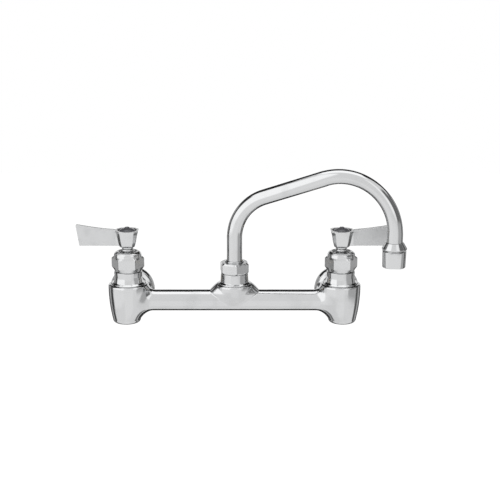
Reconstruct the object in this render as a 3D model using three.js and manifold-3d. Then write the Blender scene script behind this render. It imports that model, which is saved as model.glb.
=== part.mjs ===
// Commercial wall faucet: a cast two-handle mixing body with a swinging gooseneck spout.
// Millimetres, +Z up. The origin lies on the wall, midway between the two supply inlets;
// +X runs to the right along the body and +Y runs into the wall.
import * as THREE from "three";
import { mergeVertices } from "three/addons/utils/BufferGeometryUtils.js";
import Module from "manifold-3d";

const wasm = await Module();
wasm.setup();

// ---------------------------------------------------------------- driving sizes
// Clearances
const SEAT_GAP = 0.3; // between faces that bear on each other
const THREAD_GAP = 0.3; // radial, between a male and a female thread
const RUNNING_GAP = 0.35; // radial, round a part that turns
const THIN = 0.1; // by which joined forms run into each other
const PAST = 1; // by which a cutting form runs past the face that it opens

// Edges
const EDGE_ROUNDING = 0.6;
const FINE_ROUNDING = 0.3;
const ROOT_SPREAD = 0.6; // by which a sleeve widens at its root
const ROOT_HEIGHT = 0.8;

// Cast body
const INLET_CENTRES = 203.2; // 8 in
const AXIS_TO_WALL = 44.5; // 1 3/4 in
const BAR_RADIUS = 10;
const RIM_HEIGHT = 17; // top of the barrels and of the spout boss above the bar's axis
const RIM_ROUNDING = 1.5;
const BARREL_RADIUS = 19.2;
const FOOT_RADIUS = 13.4;
const FOOT_DEPTH = 21.5; // foot of a barrel below the bar's axis
const FOOT_ROUNDING = 3.2;
const FOOT_OFFSET = 2.3; // a barrel's foot lies this much outside the valve's axis
const TAPER_POWER = 2.2; // the barrel's side drops plumb from its rim, then curves in
const BOSS_RADIUS = 17.6;
const BOSS_TIP_RADIUS = 9;
const BOSS_DEPTH = 4; // the boss runs out into the bar this far below its axis
const UPPER_FILLET = 6.5; // between the barrels and the bar
const LOWER_FILLET = 8.5;
const BOSS_FILLET = 8; // between the boss and the bar
const BOSS_TIP_FILLET = 1;
const SHOULDER = 6.6; // legs of the slopes from the boss's rim to the bar's top
const SKIN_INSET = 0.2; // of the bar's loft inside the barrels and the boss
const FILLET_CHANGE = 6; // the fillets change over this height above and below the bar's axis
const NECK_RADIUS = 13.5;
const WATERWAY_RADIUS = 5.5; // through the bar

// Valve chambers inside a barrel
const CHAMBER_RADIUS = 11; // takes the bonnet's thread
const RECESS_RADIUS = 16.3; // the bonnet's flange sinks into the rim
const RECESS_DEPTH = 1.8;
const SHELF_THICKNESS = 9; // carries the seat, its top level with the bar's axis
const LOWER_CHAMBER_RADIUS = 8;
const FOOT_WALL = 3;
const INLET_PASSAGE_RADIUS = 4.6;
const PASSAGE_DROP = 2.5; // of the slanted inlet passage below the middle of what it joins
const PASSAGE_RUN = 1.5; // of the passage into the neck's socket

// Valve seat, washer and its holder
const SEAT_THREAD_RADIUS = 6.3;
const SEAT_THREAD_LENGTH = 5.5;
const SEAT_FLANGE_RADIUS = 8.2;
const SEAT_FLANGE_HEIGHT = 1;
const SEAT_CROWN_HEIGHT = 0.6;
const SEAT_CROWN_STEP = 0.6; // the crown's slopes and its land are each this wide
const SEAT_BORE_RADIUS = 4.2;
const WASHER_RADIUS = 7.2;
const WASHER_THICKNESS = 3;
const WASHER_SCREW_RADIUS = 1.8;
const WASHER_SCREW_HEAD_RADIUS = 3.2;
const WASHER_SCREW_HEAD_HEIGHT = 2.2;
const WASHER_SCREW_LENGTH = 5;
const HOLDER_RADIUS = 7.9;
const HOLDER_HEIGHT = 7;
const HOLDER_FLOOR = 2.7;
const HOLDER_SKIRT = 2; // hangs round the washer's edge
const VALVE_LIFT = 2.5; // rise of the washer over a quarter turn
const OVERTRAVEL = 1.5; // room left above the risen stem and holder

// Bonnet
const BONNET_FLANGE_RADIUS = 15.9;
const BONNET_FLANGE_HEIGHT = 1.6;
const BONNET_FLANGE_SLOPE = 0.6; // drop of the flange's top towards its edge
const GASKET_THICKNESS = 0.8;
const GASKET_INSET = 0.7; // of a gasket's edge inside its flange's
const SLEEVE_RADIUS = 13.4;
const SLEEVE_WAIST = 13.1;
const SLEEVE_CURVE = 20; // hollow of the waist
const SLEEVE_HEIGHT = 11.2;
const BONNET_SKIRT_BOTTOM = 6;
const STEM_THREAD_RADIUS = 7;
const STEM_THREAD_HEIGHT = 8;
const STEM_SHOULDER_GAP = 1.2; // between the stem's thread and the washer's holder
const PACKING_BOX_RADIUS = 8.4;
const PACKING_BOX_WALL = 2.6;
const PACKING_HEIGHT = 8;
const GLAND_HEIGHT = 6;
const GLAND_STAND = 1.5; // the gland stands out of the packing box

// Packing nut
const NUT_FLATS = 27.2; // across flats
const NUT_DOME_HEIGHT = 6.1;
const NUT_DOME_RADIUS = 12.9;
const NUT_DOME_ROUNDING = 3.5;
const NUT_EYE_RADIUS = 8.2; // recess round the stem
const NUT_EYE_DEPTH = 2;
const NUT_EYE_FLARE = 0.8;
const NUT_CHAMFER = 3;
const NUT_SHOULDER_IN = 2.4; // where the flats pass into the dome
const NUT_SHOULDER_RISE = 1.5;
const NUT_CEILING = 8.1; // solid above the gland
const NUT_LIFT = 0.7; // groove between the bonnet's sleeve and the nut

// Stem
const STEM_RADIUS = 4.8;
const STEM_TIP_RADIUS = 4;
const STEM_COLLAR_RADIUS = 5.75;
const STEM_COLLAR_HEIGHT = 2.2;
const COLLAR_LIFT = 2.2; // of the collar above the nut's recess
const SPLINE_RADIUS = 4.2;
const SPLINE_LENGTH = 10;
const SPLINE_TEETH = 8;
const SPLINE_DEPTH = 0.5;
const HANDLE_SCREW_RADIUS = 1.9;
const HANDLE_SCREW_LENGTH = 9;
const HANDLE_SCREW_HEAD_RADIUS = 4.2;
const HANDLE_SCREW_HEAD_HEIGHT = 2.4;

// Lever handle
const HUB_NECK_RADIUS = 5.55;
const HUB_NECK_HEIGHT = 3.2;
const HUB_LOWER_WIDTH = 12.4;
const HUB_MIDDLE_WIDTH = 17.1;
const HUB_LIP_WIDTH = 21.3;
const HUB_LIP_FLARE = 1.2; // the lip stands out from the flare by half of this
const HUB_LIP_HEIGHT = 2.2;
const HUB_LIP_EDGE = 0.7;
const HUB_NECK_SPREAD = 0.6; // the neck meets the flare over this much
const HUB_HEIGHT = 17.9;
const HUB_WEB = 3; // floor of the recess above the stem
const CORNER_SHARE = 0.63; // half of a wide face over half of the hub's width
const RECESS_MOUTH_RADIUS = 9;
const BUTTON_HEIGHT = 7.5;
const BUTTON_DOME = 4.2;
const BUTTON_WALL = 1.5;
const BUTTON_CEILING_RISE = 0.6; // of the cap's ceiling above the rim of its dome
const BLADE_THICKNESS = 3;
const BLADE_EDGE = 0.5;
const BLADE_CORNER = 1; // rounding of the tip's upper corner
const BLADE_REACH = 48.5; // valve axis to the upper corner of the tip
const BLADE_SLANT = 2.9; // the lower corner of the tip lies this much further in
const BLADE_BOTTOM = 2.8; // above the foot of the hub
const BLADE_ROOT_HEIGHT = 18.5;
const BLADE_TIP_HEIGHT = 23.3;
const BLADE_DIP = 1.1; // the upper edge is hollow by this much
const BLADE_TUCK = 1.4; // the root tucks this much under the hub's lip
const BLADE_TUCK_DROP = 3;

// Wall inlets
const FLANGE_RADIUS = 22.6;
const FLANGE_THICKNESS = 8.5;
const FLANGE_BEVEL = 4;
const FLANGE_ROUNDING = 1.2;
const HUB_RADIUS = 16.6;
const FLANGE_HUB_LENGTH = 8;
const FLANGE_SHOULDER = 5.7;
const SHANK_RADIUS = 10.4; // 1/2 in pipe
const SHANK_BORE_RADIUS = 7.6;
const SHANK_INSIDE = 26; // reach of the shank into the body's neck, from the wall
const SHANK_OUTSIDE = 26; // reach of the shank behind the wall's face
const WALL_GASKET_RADIUS = 19.6;
const WALL_GASKET_THICKNESS = 1.5;
const SPLASH_THICKNESS = 6; // panel that the faucet is drawn up against
const BACK_WASHER_RADIUS = 17;
const BACK_WASHER_THICKNESS = 1.6;
const LOCKNUT_FLATS = 30;
const LOCKNUT_THICKNESS = 8;
const LOCKNUT_CHAMFER = 1.2;

// Swivel joint of the spout
const ADAPTER_THREAD_RADIUS = 10.5;
const ADAPTER_THREAD_LENGTH = 14;
const ADAPTER_STAND = 1.3; // of the thread's foot above the boss's floor
const ADAPTER_FLANGE_RADIUS = 15.6;
const ADAPTER_FLANGE_HEIGHT = 1.8;
const ADAPTER_RADIUS = 13;
const ADAPTER_COLLAR_HEIGHT = 9.3;
const ADAPTER_BORE_RADIUS = 10;
const ADAPTER_WATERWAY_RADIUS = 6.5;
const ADAPTER_NECK_RADIUS = 11.1;
const ADAPTER_NECK_HEIGHT = 4.5;
const O_RING_SECTION = 2;
const SWIVEL_FLOOR = 0.6; // foot of the bore above the adapter's seat
const BEARING_LENGTH = 8;
const BEARING_GAP = 0.2; // radial, round the tube
const SPOUT_NUT_FLATS = 25.4; // 1 in
const SPOUT_NUT_HEIGHT = 10.2;
const SPOUT_NUT_CEILING = 2.2;
const SPOUT_NUT_CHAMFER = 1.2;
const SPOUT_NUT_BEVEL = 2.4; // inward slope of the upper corners
const SPOUT_NUT_TURN = THREE.MathUtils.degToRad(38); // a corner stands right of the front
const FERRULE_FLANGE_HEIGHT = 2.2;
const FERRULE_NECK_RADIUS = 8.5;
const FERRULE_NECK_HEIGHT = 5.2;
const FERRULE_LAND = 0.2; // flat top of the neck

// Spout
const TUBE_RADIUS = 7.4;
const TUBE_WALL = 1.05;
const SPOUT_REACH = 152.4; // 6 in
const RISER_HEIGHT = 61.8; // start of the first bend above the bar's axis
const FIRST_BEND = 43.5;
const SECOND_BEND = 49.8;
const CLIMB = THREE.MathUtils.degToRad(19.9);
const SPOUT_END = 63.7; // foot of the tube above the bar's axis
const SPOUT_SWING = THREE.MathUtils.degToRad(-16.8); // parked towards the user

// Outlet
const NOZZLE_RADIUS = 11.5;
const NOZZLE_CONE_HEIGHT = 6.5;
const NOZZLE_WEB = 1.6; // between the tube's end and the nozzle's shoulder
const NOZZLE_RIM = 1.2; // plumb part of the cone's edge
const NOZZLE_LIP = 0.7;
const NOZZLE_THREAD_RADIUS = 8;
const NOZZLE_THREAD_LENGTH = 6.5;
const SHELL_RADIUS = 11;
const SHELL_FOOT_RADIUS = 10.6;
const SHELL_HEIGHT = 15.8;
const SHELL_GROOVE = 0.7; // between the nozzle and the shell
const SHELL_LIP = 1.6; // holds the aerator from below
const SHELL_MOUTH_RADIUS = 6.6;
const SHELL_FLAT = 9.1; // a wrench flat's distance from the axis
const SHELL_FLAT_TOP = 1.6;
const AERATOR_HEIGHT = 4;
const AERATOR_HOLES = 6; // round the middle one
const AERATOR_HOLE_RADIUS = 0.9;
const AERATOR_HOLE_CIRCLE = 4; // radius of the circle that they lie on
const OUTLET_WASHER_THICKNESS = 1.5;
const OUTLET_WASHER_INSET = 1; // of its bore inside the shell's mouth

// Facets
const BODY_SIDES = 20; // of the barrels and the boss
const ROUND = 16; // sides of any other main round form
const SMALL = 10; // sides of an inner or small one
const TINY = 6; // sides of a drilled hole or of a seal's section
const BAR_SIDES = 14; // of the bar's section
const TUBE_SIDES = 16;
const TUBE_STEPS = 29;
const TAPER_STEPS = 5; // heights along a barrel's or the boss's side
const BOSS_STATIONS = 6; // sections of the bar inside and beside the boss
const BARREL_STATIONS = 7;
const DOME_STEPS = 4;
const BLADE_CURVE_STEPS = 5;
const SKIN_TOLERANCE = 0.005;
const MERGE_DISTANCE = 1e-4;
const ARC_CHORD = 2.4; // along a rounded corner
const ARC_SHARE = 0.98; // of a rounding, so that its arc ends just short of the next one

// ---------------------------------------------------------------- finishes
const finish = (color, roughness, metalness) =>
  new THREE.MeshStandardMaterial({ color, roughness, metalness });
const chrome = finish(0xd2d3d4, 0.12, 1);
const roughChrome = finish(0xb9babb, 0.3, 1);
const brass = finish(0xb79a56, 0.35, 1);
const stainless = finish(0xb4b5b7, 0.35, 1);
const rubber = finish(0x1c1c1d, 0.8, 0);
const graphite = finish(0x3a3a3c, 0.7, 0.1);
const nylon = finish(0xe3e0d6, 0.5, 0);
const darkPlastic = finish(0x2d2e31, 0.3, 0);

// ---------------------------------------------------------------- shape tools
// A closed geometry as a solid for joining and cutting.
function toSolid(geometry) {
  const bare = geometry.index ? geometry.toNonIndexed() : geometry.clone();
  bare.deleteAttribute("normal");
  bare.deleteAttribute("uv");
  const merged = mergeVertices(bare, MERGE_DISTANCE);
  const corners = merged.index.array;
  const triVerts = [];
  for (let i = 0; i < corners.length; i += 3) {
    const [a, b, c] = corners.slice(i, i + 3);
    if (a !== b && b !== c && c !== a) triVerts.push(a, b, c);
  }
  return new wasm.Manifold(
    new wasm.Mesh({
      numProp: 3,
      vertProperties: merged.attributes.position.array,
      triVerts: new Uint32Array(triVerts),
    }),
  );
}

function toGeometry(solid) {
  const { vertProperties, triVerts } = solid.getMesh();
  const geometry = new THREE.BufferGeometry();
  geometry.setAttribute("position", new THREE.BufferAttribute(vertProperties, 3));
  geometry.setIndex(new THREE.BufferAttribute(triVerts, 1));
  geometry.computeVertexNormals();
  return geometry;
}

const unite = (...geometries) =>
  toGeometry(geometries.map(toSolid).reduce((whole, part) => whole.add(part)));
const cut = (geometry, ...tools) =>
  toGeometry(tools.map(toSolid).reduce((whole, tool) => whole.subtract(tool), toSolid(geometry)));
const common = (a, b) => toGeometry(toSolid(a).intersect(toSolid(b)));

// A corner [r, z, fillet] as the points of an arc that rounds it, or as one sharp point.
function roundedCorner([r, z, fillet = 0], before, after) {
  const corner = new THREE.Vector2(r, z);
  if (!fillet) return [corner];
  const back = new THREE.Vector2(before[0], before[1]).sub(corner).normalize();
  const ahead = new THREE.Vector2(after[0], after[1]).sub(corner).normalize();
  const half = Math.acos(THREE.MathUtils.clamp(back.dot(ahead), -1, 1)) / 2;
  const reach = fillet / Math.tan(half);
  const inward = back.clone().add(ahead).normalize();
  const centre = corner.clone().addScaledVector(inward, fillet / Math.sin(half));
  const from = corner.clone().addScaledVector(back, reach).sub(centre).angle();
  let sweep = corner.clone().addScaledVector(ahead, reach).sub(centre).angle() - from;
  if (sweep > Math.PI) sweep -= 2 * Math.PI;
  if (sweep < -Math.PI) sweep += 2 * Math.PI;
  const steps = Math.max(1, Math.round((Math.abs(sweep) * fillet) / ARC_CHORD));
  return Array.from({ length: steps + 1 }, (_, i) => {
    const angle = from + (sweep * i) / steps;
    return new THREE.Vector2(Math.cos(angle), Math.sin(angle)).multiplyScalar(fillet).add(centre);
  });
}

const roundedOutline = (corners) =>
  corners.flatMap((corner, i) =>
    roundedCorner(corner, corners.at(i - 1), corners[(i + 1) % corners.length]),
  );

// Turns an outline of [r, z, fillet] corners, listed anticlockwise, round the Z axis.
function turned(corners, sides = ROUND) {
  const outline = roundedOutline(corners);
  return new THREE.LatheGeometry([...outline, outline[0]], sides).rotateX(Math.PI / 2);
}

const rod = (radius, bottom, top, sides = SMALL) =>
  turned([[0, bottom], [radius, bottom], [radius, top], [0, top]], sides);
const ring = (inner, outer, bottom, top, sides = ROUND) =>
  turned([[inner, bottom], [outer, bottom], [outer, top], [inner, top]], sides);

// A rod that lies along Y.
const rodAlongY = (radius, from, to, sides = SMALL) => rod(radius, from, to, sides).rotateX(-Math.PI / 2);

// Joins rings of equal point count into one skin and closes both ends.
function loft(rings) {
  const count = rings[0].length;
  const centres = [rings[0], rings.at(-1)].map((end) =>
    end.reduce((sum, point) => sum.add(point), new THREE.Vector3()).divideScalar(count),
  );
  const points = [...rings.flat(), ...centres];
  const triangles = [];
  for (let i = 0; i < count; i++) {
    const next = (i + 1) % count;
    for (let row = 0; row + 1 < rings.length; row++) {
      const low = row * count;
      const high = low + count;
      triangles.push(low + i, low + next, high + next, low + i, high + next, high + i);
    }
    const last = (rings.length - 1) * count;
    triangles.push(points.length - 2, next, i, points.length - 1, last + i, last + next);
  }
  return new THREE.BufferGeometry().setFromPoints(points).setIndex(triangles);
}

// A hexagonal prism, one flat facing -Y, between two heights.
function hexagon(acrossFlats, bottom, top) {
  const corner = acrossFlats / Math.sqrt(3);
  const outline = Array.from({ length: 6 }, (_, i) =>
    new THREE.Vector2(Math.cos((i * Math.PI) / 3), Math.sin((i * Math.PI) / 3)).multiplyScalar(corner),
  );
  return new THREE.ExtrudeGeometry(new THREE.Shape(outline), {
    depth: top - bottom,
    bevelEnabled: false,
  }).translate(0, 0, bottom);
}

// Evenly spaced numbers from one end to the other, both included.
const spread = (from, to, count) =>
  Array.from({ length: count }, (_, i) => from + ((to - from) * i) / (count - 1));

function piece(name, geometry, material) {
  const mesh = new THREE.Mesh(geometry, material);
  mesh.name = name;
  return mesh;
}

// ---------------------------------------------------------------- cast body
const taperStart = RIM_HEIGHT - RIM_ROUNDING;
const taperEnd = FOOT_ROUNDING - FOOT_DEPTH;

// How far a tapered side has come in at a height, from 0 at its rim to 1 at its lower end.
function taper(z, end) {
  return THREE.MathUtils.clamp((taperStart - z) / (taperStart - end), 0, 1) ** TAPER_POWER;
}

const barrelRadius = (z) => THREE.MathUtils.lerp(BARREL_RADIUS, FOOT_RADIUS, taper(z, taperEnd));
const barrelOffset = (z) => FOOT_OFFSET * taper(z, taperEnd);

// Radius of the spout boss, a tulip that runs out on the front and back of the bar.
const bossRadius = (z) => THREE.MathUtils.lerp(BOSS_RADIUS, BOSS_TIP_RADIUS, taper(z, -BOSS_DEPTH));

// One barrel on its valve's axis, its foot set off outwards.
function barrelForm(outward) {
  const side = spread(taperEnd, taperStart, TAPER_STEPS).map((z) => [barrelRadius(z), z]);
  const foot = [[0, -FOOT_DEPTH], [FOOT_RADIUS, -FOOT_DEPTH, FOOT_ROUNDING * ARC_SHARE]];
  const rim = [[BARREL_RADIUS, RIM_HEIGHT, RIM_ROUNDING * ARC_SHARE], [0, RIM_HEIGHT]];
  const geometry = turned([...foot, ...side, ...rim], BODY_SIDES);
  const points = geometry.attributes.position;
  for (let i = 0; i < points.count; i++) {
    points.setX(i, points.getX(i) + outward * barrelOffset(points.getZ(i)));
  }
  return geometry;
}

function bossForm() {
  const side = spread(-BOSS_DEPTH, taperStart, TAPER_STEPS).map((z) => [bossRadius(z), z]);
  const rim = [[BOSS_RADIUS, RIM_HEIGHT, RIM_ROUNDING * ARC_SHARE], [0, RIM_HEIGHT]];
  return turned([[0, -BOSS_DEPTH], ...side, ...rim], BODY_SIDES);
}

// Two distances joined by a fillet of the given radius.
function filleted(a, b, fillet) {
  const u = Math.max(fillet - a, 0);
  const v = Math.max(fillet - b, 0);
  return Math.max(fillet, Math.min(a, b)) - Math.hypot(u, v);
}

// Signed distance from the casting's skin, the barrels and the boss lying just under their own forms.
function castingDistance(x, y, z) {
  const upright = (centre, radius, bottom) =>
    Math.max(Math.hypot(x - centre, y) - radius, z - taperStart, bottom - z) + SKIN_INSET;
  const between = (low, high, lower, upper) =>
    THREE.MathUtils.lerp(lower, upper, THREE.MathUtils.smoothstep(z, low, high));
  const bar = Math.hypot(y, z) - BAR_RADIUS;
  const boss = upright(0, bossRadius(z), -BOSS_DEPTH);
  const filletedBoss = filleted(bar, boss, between(-BOSS_DEPTH, BAR_RADIUS, BOSS_TIP_FILLET, BOSS_FILLET));
  const shoulder = (bar + boss - between(0, BAR_RADIUS, 0, SHOULDER)) * Math.SQRT1_2;
  const barrelCentre = (x < 0 ? -1 : 1) * (INLET_CENTRES / 2 + barrelOffset(z));
  const barrels = upright(barrelCentre, barrelRadius(z), taperEnd);
  const fillet = between(-FILLET_CHANGE, FILLET_CHANGE, LOWER_FILLET, UPPER_FILLET);
  return filleted(Math.min(filletedBoss, shoulder), barrels, fillet);
}

// Distance from the bar's axis to the casting's skin, along a ray in the section at x.
function skinReach(x, angle) {
  let inside = BAR_RADIUS / 2;
  let outside = BARREL_RADIUS + FOOT_DEPTH;
  while (outside - inside > SKIN_TOLERANCE) {
    const middle = (inside + outside) / 2;
    const within = castingDistance(x, middle * Math.cos(angle), middle * Math.sin(angle)) < 0;
    if (within) inside = middle;
    else outside = middle;
  }
  return inside;
}

// The bar with its fillets into the barrels and the boss, lofted through sections across X.
function barForm() {
  const barrelSide = INLET_CENTRES / 2 - BARREL_RADIUS;
  const half = [
    ...spread(0, BOSS_RADIUS + BOSS_FILLET, BOSS_STATIONS),
    (BOSS_RADIUS + barrelSide) / 2,
    ...spread(barrelSide - LOWER_FILLET, barrelSide + BARREL_RADIUS / 2, BARREL_STATIONS),
  ];
  const stations = [...half.slice(1).reverse().map((x) => -x), ...half];
  const angles = spread(0, 2 * Math.PI, BAR_SIDES + 1).slice(0, -1);
  return loft(
    stations.map((x) =>
      angles.map((angle) => {
        const reach = skinReach(x, angle);
        return new THREE.Vector3(x, reach * Math.cos(angle), reach * Math.sin(angle));
      }),
    ),
  );
}

const neckEnd = AXIS_TO_WALL - FLANGE_SHOULDER - SEAT_GAP;
const neckSocket = AXIS_TO_WALL - SHANK_INSIDE - SEAT_GAP;
const shelfFloor = -SHELF_THICKNESS;

// Everything hollow in one barrel, on its own axis.
function barrelHollows() {
  const chamberFloor = -FOOT_DEPTH + FOOT_WALL;
  const chambers = turned([
    [0, chamberFloor],
    [LOWER_CHAMBER_RADIUS, chamberFloor],
    [LOWER_CHAMBER_RADIUS, shelfFloor],
    [SEAT_THREAD_RADIUS + THREAD_GAP, shelfFloor],
    [SEAT_THREAD_RADIUS + THREAD_GAP, 0],
    [CHAMBER_RADIUS, 0],
    [CHAMBER_RADIUS, RIM_HEIGHT - RECESS_DEPTH],
    [RECESS_RADIUS, RIM_HEIGHT - RECESS_DEPTH],
    [RECESS_RADIUS, RIM_HEIGHT + PAST],
    [0, RIM_HEIGHT + PAST],
  ]);
  const socket = rodAlongY(SHANK_RADIUS + THREAD_GAP, neckSocket, neckEnd + PAST, ROUND);
  const low = new THREE.Vector3(0, 0, (chamberFloor + shelfFloor - PASSAGE_DROP) / 2);
  const high = new THREE.Vector3(0, neckSocket + PASSAGE_RUN, -PASSAGE_DROP);
  const slope = high.clone().sub(low);
  const passage = rod(INLET_PASSAGE_RADIUS, 0, slope.length())
    .applyQuaternion(
      new THREE.Quaternion().setFromUnitVectors(new THREE.Vector3(0, 0, 1), slope.clone().normalize()),
    )
    .translate(low.x, low.y, low.z);
  return [chambers, socket, passage];
}

const bossFloor = RIM_HEIGHT - RECESS_DEPTH - SEAT_GAP - GASKET_THICKNESS - ADAPTER_THREAD_LENGTH;

function bossHollows() {
  return turned([
    [0, 0],
    [ADAPTER_WATERWAY_RADIUS, 0],
    [ADAPTER_WATERWAY_RADIUS, bossFloor],
    [ADAPTER_THREAD_RADIUS + THREAD_GAP, bossFloor],
    [ADAPTER_THREAD_RADIUS + THREAD_GAP, RIM_HEIGHT - RECESS_DEPTH],
    [ADAPTER_FLANGE_RADIUS + SEAT_GAP, RIM_HEIGHT - RECESS_DEPTH],
    [ADAPTER_FLANGE_RADIUS + SEAT_GAP, RIM_HEIGHT + PAST],
    [0, RIM_HEIGHT + PAST],
  ]);
}

function valveBody() {
  const centre = INLET_CENTRES / 2;
  const solids = [barForm(), bossForm()];
  const hollows = [bossHollows()];
  for (const outward of [-1, 1]) {
    const x = outward * centre;
    solids.push(barrelForm(outward).translate(x, 0, 0));
    solids.push(rodAlongY(NECK_RADIUS, 0, neckEnd, ROUND).translate(x, 0, 0));
    hollows.push(...barrelHollows().map((hollow) => hollow.translate(x, 0, 0)));
  }
  const waterwayEnd = centre - CHAMBER_RADIUS + PAST;
  hollows.push(rod(WATERWAY_RADIUS, -waterwayEnd, waterwayEnd).rotateY(Math.PI / 2));
  return cut(unite(...solids), ...hollows);
}

// ---------------------------------------------------------------- wall inlets
// One inlet about the Y axis, the wall's face at y = 0.
const alongY = (geometry) => geometry.rotateX(-Math.PI / 2);

function wallFlange() {
  const front = -FLANGE_THICKNESS;
  const gasketFloor = -WALL_GASKET_THICKNESS - SEAT_GAP;
  return alongY(
    turned([
      [NECK_RADIUS + THREAD_GAP, front - FLANGE_HUB_LENGTH],
      [HUB_RADIUS, front - FLANGE_HUB_LENGTH, EDGE_ROUNDING],
      [HUB_RADIUS, front],
      [FLANGE_RADIUS - FLANGE_BEVEL, front, EDGE_ROUNDING],
      [FLANGE_RADIUS, front + FLANGE_BEVEL, FLANGE_ROUNDING],
      [FLANGE_RADIUS, 0],
      [WALL_GASKET_RADIUS + SEAT_GAP, 0],
      [WALL_GASKET_RADIUS + SEAT_GAP, gasketFloor],
      [SHANK_RADIUS + THREAD_GAP, gasketFloor],
      [SHANK_RADIUS + THREAD_GAP, -FLANGE_SHOULDER],
      [NECK_RADIUS + THREAD_GAP, -FLANGE_SHOULDER],
    ]),
  );
}

const washerFront = SPLASH_THICKNESS;
const locknutFront = washerFront + BACK_WASHER_THICKNESS + SEAT_GAP;

function locknut() {
  const back = locknutFront + LOCKNUT_THICKNESS;
  const corner = LOCKNUT_FLATS / Math.sqrt(3);
  const blank = common(
    hexagon(LOCKNUT_FLATS, locknutFront, back),
    turned([
      [0, locknutFront],
      [corner - LOCKNUT_CHAMFER, locknutFront],
      [corner, locknutFront + LOCKNUT_CHAMFER],
      [corner, back - LOCKNUT_CHAMFER],
      [corner - LOCKNUT_CHAMFER, back],
      [0, back],
    ]),
  );
  return alongY(cut(blank, rod(SHANK_RADIUS + THREAD_GAP, locknutFront - PAST, back + PAST, ROUND)));
}

function inlet(side) {
  const group = new THREE.Group();
  const bore = SHANK_RADIUS + THREAD_GAP;
  const washerBack = washerFront + BACK_WASHER_THICKNESS;
  group.add(
    piece(`${side}_wall_flange`, wallFlange(), chrome),
    piece(`${side}_wall_gasket`, alongY(ring(bore, WALL_GASKET_RADIUS, -WALL_GASKET_THICKNESS, 0)), rubber),
    piece(`${side}_inlet_shank`,
      alongY(ring(SHANK_BORE_RADIUS, SHANK_RADIUS, -SHANK_INSIDE, SHANK_OUTSIDE)), brass),
    piece(`${side}_back_washer`, alongY(ring(bore, BACK_WASHER_RADIUS, washerFront, washerBack)), stainless),
    piece(`${side}_locknut`, locknut(), brass),
  );
  return group;
}

// ---------------------------------------------------------------- valve
// One valve about the Z axis, z = 0 on the bar's axis and on the shelf that carries the seat.
const seatTop = SEAT_GAP + SEAT_FLANGE_HEIGHT + SEAT_CROWN_HEIGHT;
const washerBottom = seatTop + SEAT_GAP;
const washerTop = washerBottom + WASHER_THICKNESS;
const holderBottom = washerTop + SEAT_GAP;
const holderTop = holderBottom + HOLDER_HEIGHT;
const stemBottom = holderBottom + HOLDER_FLOOR + SEAT_GAP;
const gasketBottom = RIM_HEIGHT - RECESS_DEPTH + SEAT_GAP;
const bonnetFlangeBottom = gasketBottom + GASKET_THICKNESS + SEAT_GAP;
const bonnetFlangeTop = bonnetFlangeBottom + BONNET_FLANGE_HEIGHT;
const sleeveTop = bonnetFlangeTop + SLEEVE_HEIGHT;
const stemThreadBottom = holderTop + STEM_SHOULDER_GAP;
const bonnetThreadBottom = holderTop + VALVE_LIFT + OVERTRAVEL;
const packingBoxFloor = stemThreadBottom + STEM_THREAD_HEIGHT + VALVE_LIFT + OVERTRAVEL;
const packingTop = packingBoxFloor + SEAT_GAP + PACKING_HEIGHT;
const glandTop = packingTop + SEAT_GAP + GLAND_HEIGHT;
const packingBoxTop = glandTop - GLAND_STAND;
const nutBottom = sleeveTop + NUT_LIFT;
const nutCeiling = glandTop + SEAT_GAP;
const nutTop = nutCeiling + NUT_CEILING;
const hexTop = nutTop - NUT_DOME_HEIGHT;
const collarBottom = nutTop - NUT_EYE_DEPTH + COLLAR_LIFT;
const collarTop = collarBottom + STEM_COLLAR_HEIGHT;
const stemTop = collarTop + SPLINE_LENGTH;

function valveSeat() {
  const bottom = -SEAT_THREAD_LENGTH;
  const flangeBottom = SEAT_GAP;
  const flangeTop = flangeBottom + SEAT_FLANGE_HEIGHT;
  return turned([
    [SEAT_BORE_RADIUS, bottom],
    [SEAT_THREAD_RADIUS, bottom],
    [SEAT_THREAD_RADIUS, flangeBottom],
    [SEAT_FLANGE_RADIUS, flangeBottom],
    [SEAT_FLANGE_RADIUS, flangeTop],
    [SEAT_BORE_RADIUS + 3 * SEAT_CROWN_STEP, flangeTop],
    [SEAT_BORE_RADIUS + 2 * SEAT_CROWN_STEP, seatTop],
    [SEAT_BORE_RADIUS + SEAT_CROWN_STEP, seatTop],
    [SEAT_BORE_RADIUS, flangeTop],
  ], SMALL);
}

function washerScrew() {
  const headBottom = washerBottom - WASHER_SCREW_HEAD_HEIGHT - SEAT_GAP;
  const headTop = washerBottom - SEAT_GAP;
  return turned([
    [0, headBottom],
    [WASHER_SCREW_HEAD_RADIUS, headBottom, EDGE_ROUNDING],
    [WASHER_SCREW_HEAD_RADIUS, headTop],
    [WASHER_SCREW_RADIUS, headTop],
    [WASHER_SCREW_RADIUS, headTop + WASHER_SCREW_LENGTH],
    [0, headTop + WASHER_SCREW_LENGTH],
  ], SMALL);
}

function washerHolder() {
  const hole = WASHER_SCREW_RADIUS + THREAD_GAP;
  const socket = STEM_TIP_RADIUS + RUNNING_GAP;
  const skirt = WASHER_RADIUS + SEAT_GAP;
  return turned([
    [hole, holderBottom],
    [skirt, holderBottom],
    [skirt, holderBottom - HOLDER_SKIRT],
    [HOLDER_RADIUS, holderBottom - HOLDER_SKIRT],
    [HOLDER_RADIUS, holderTop, EDGE_ROUNDING],
    [socket, holderTop],
    [socket, holderBottom + HOLDER_FLOOR],
    [hole, holderBottom + HOLDER_FLOOR],
  ], SMALL);
}

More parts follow.
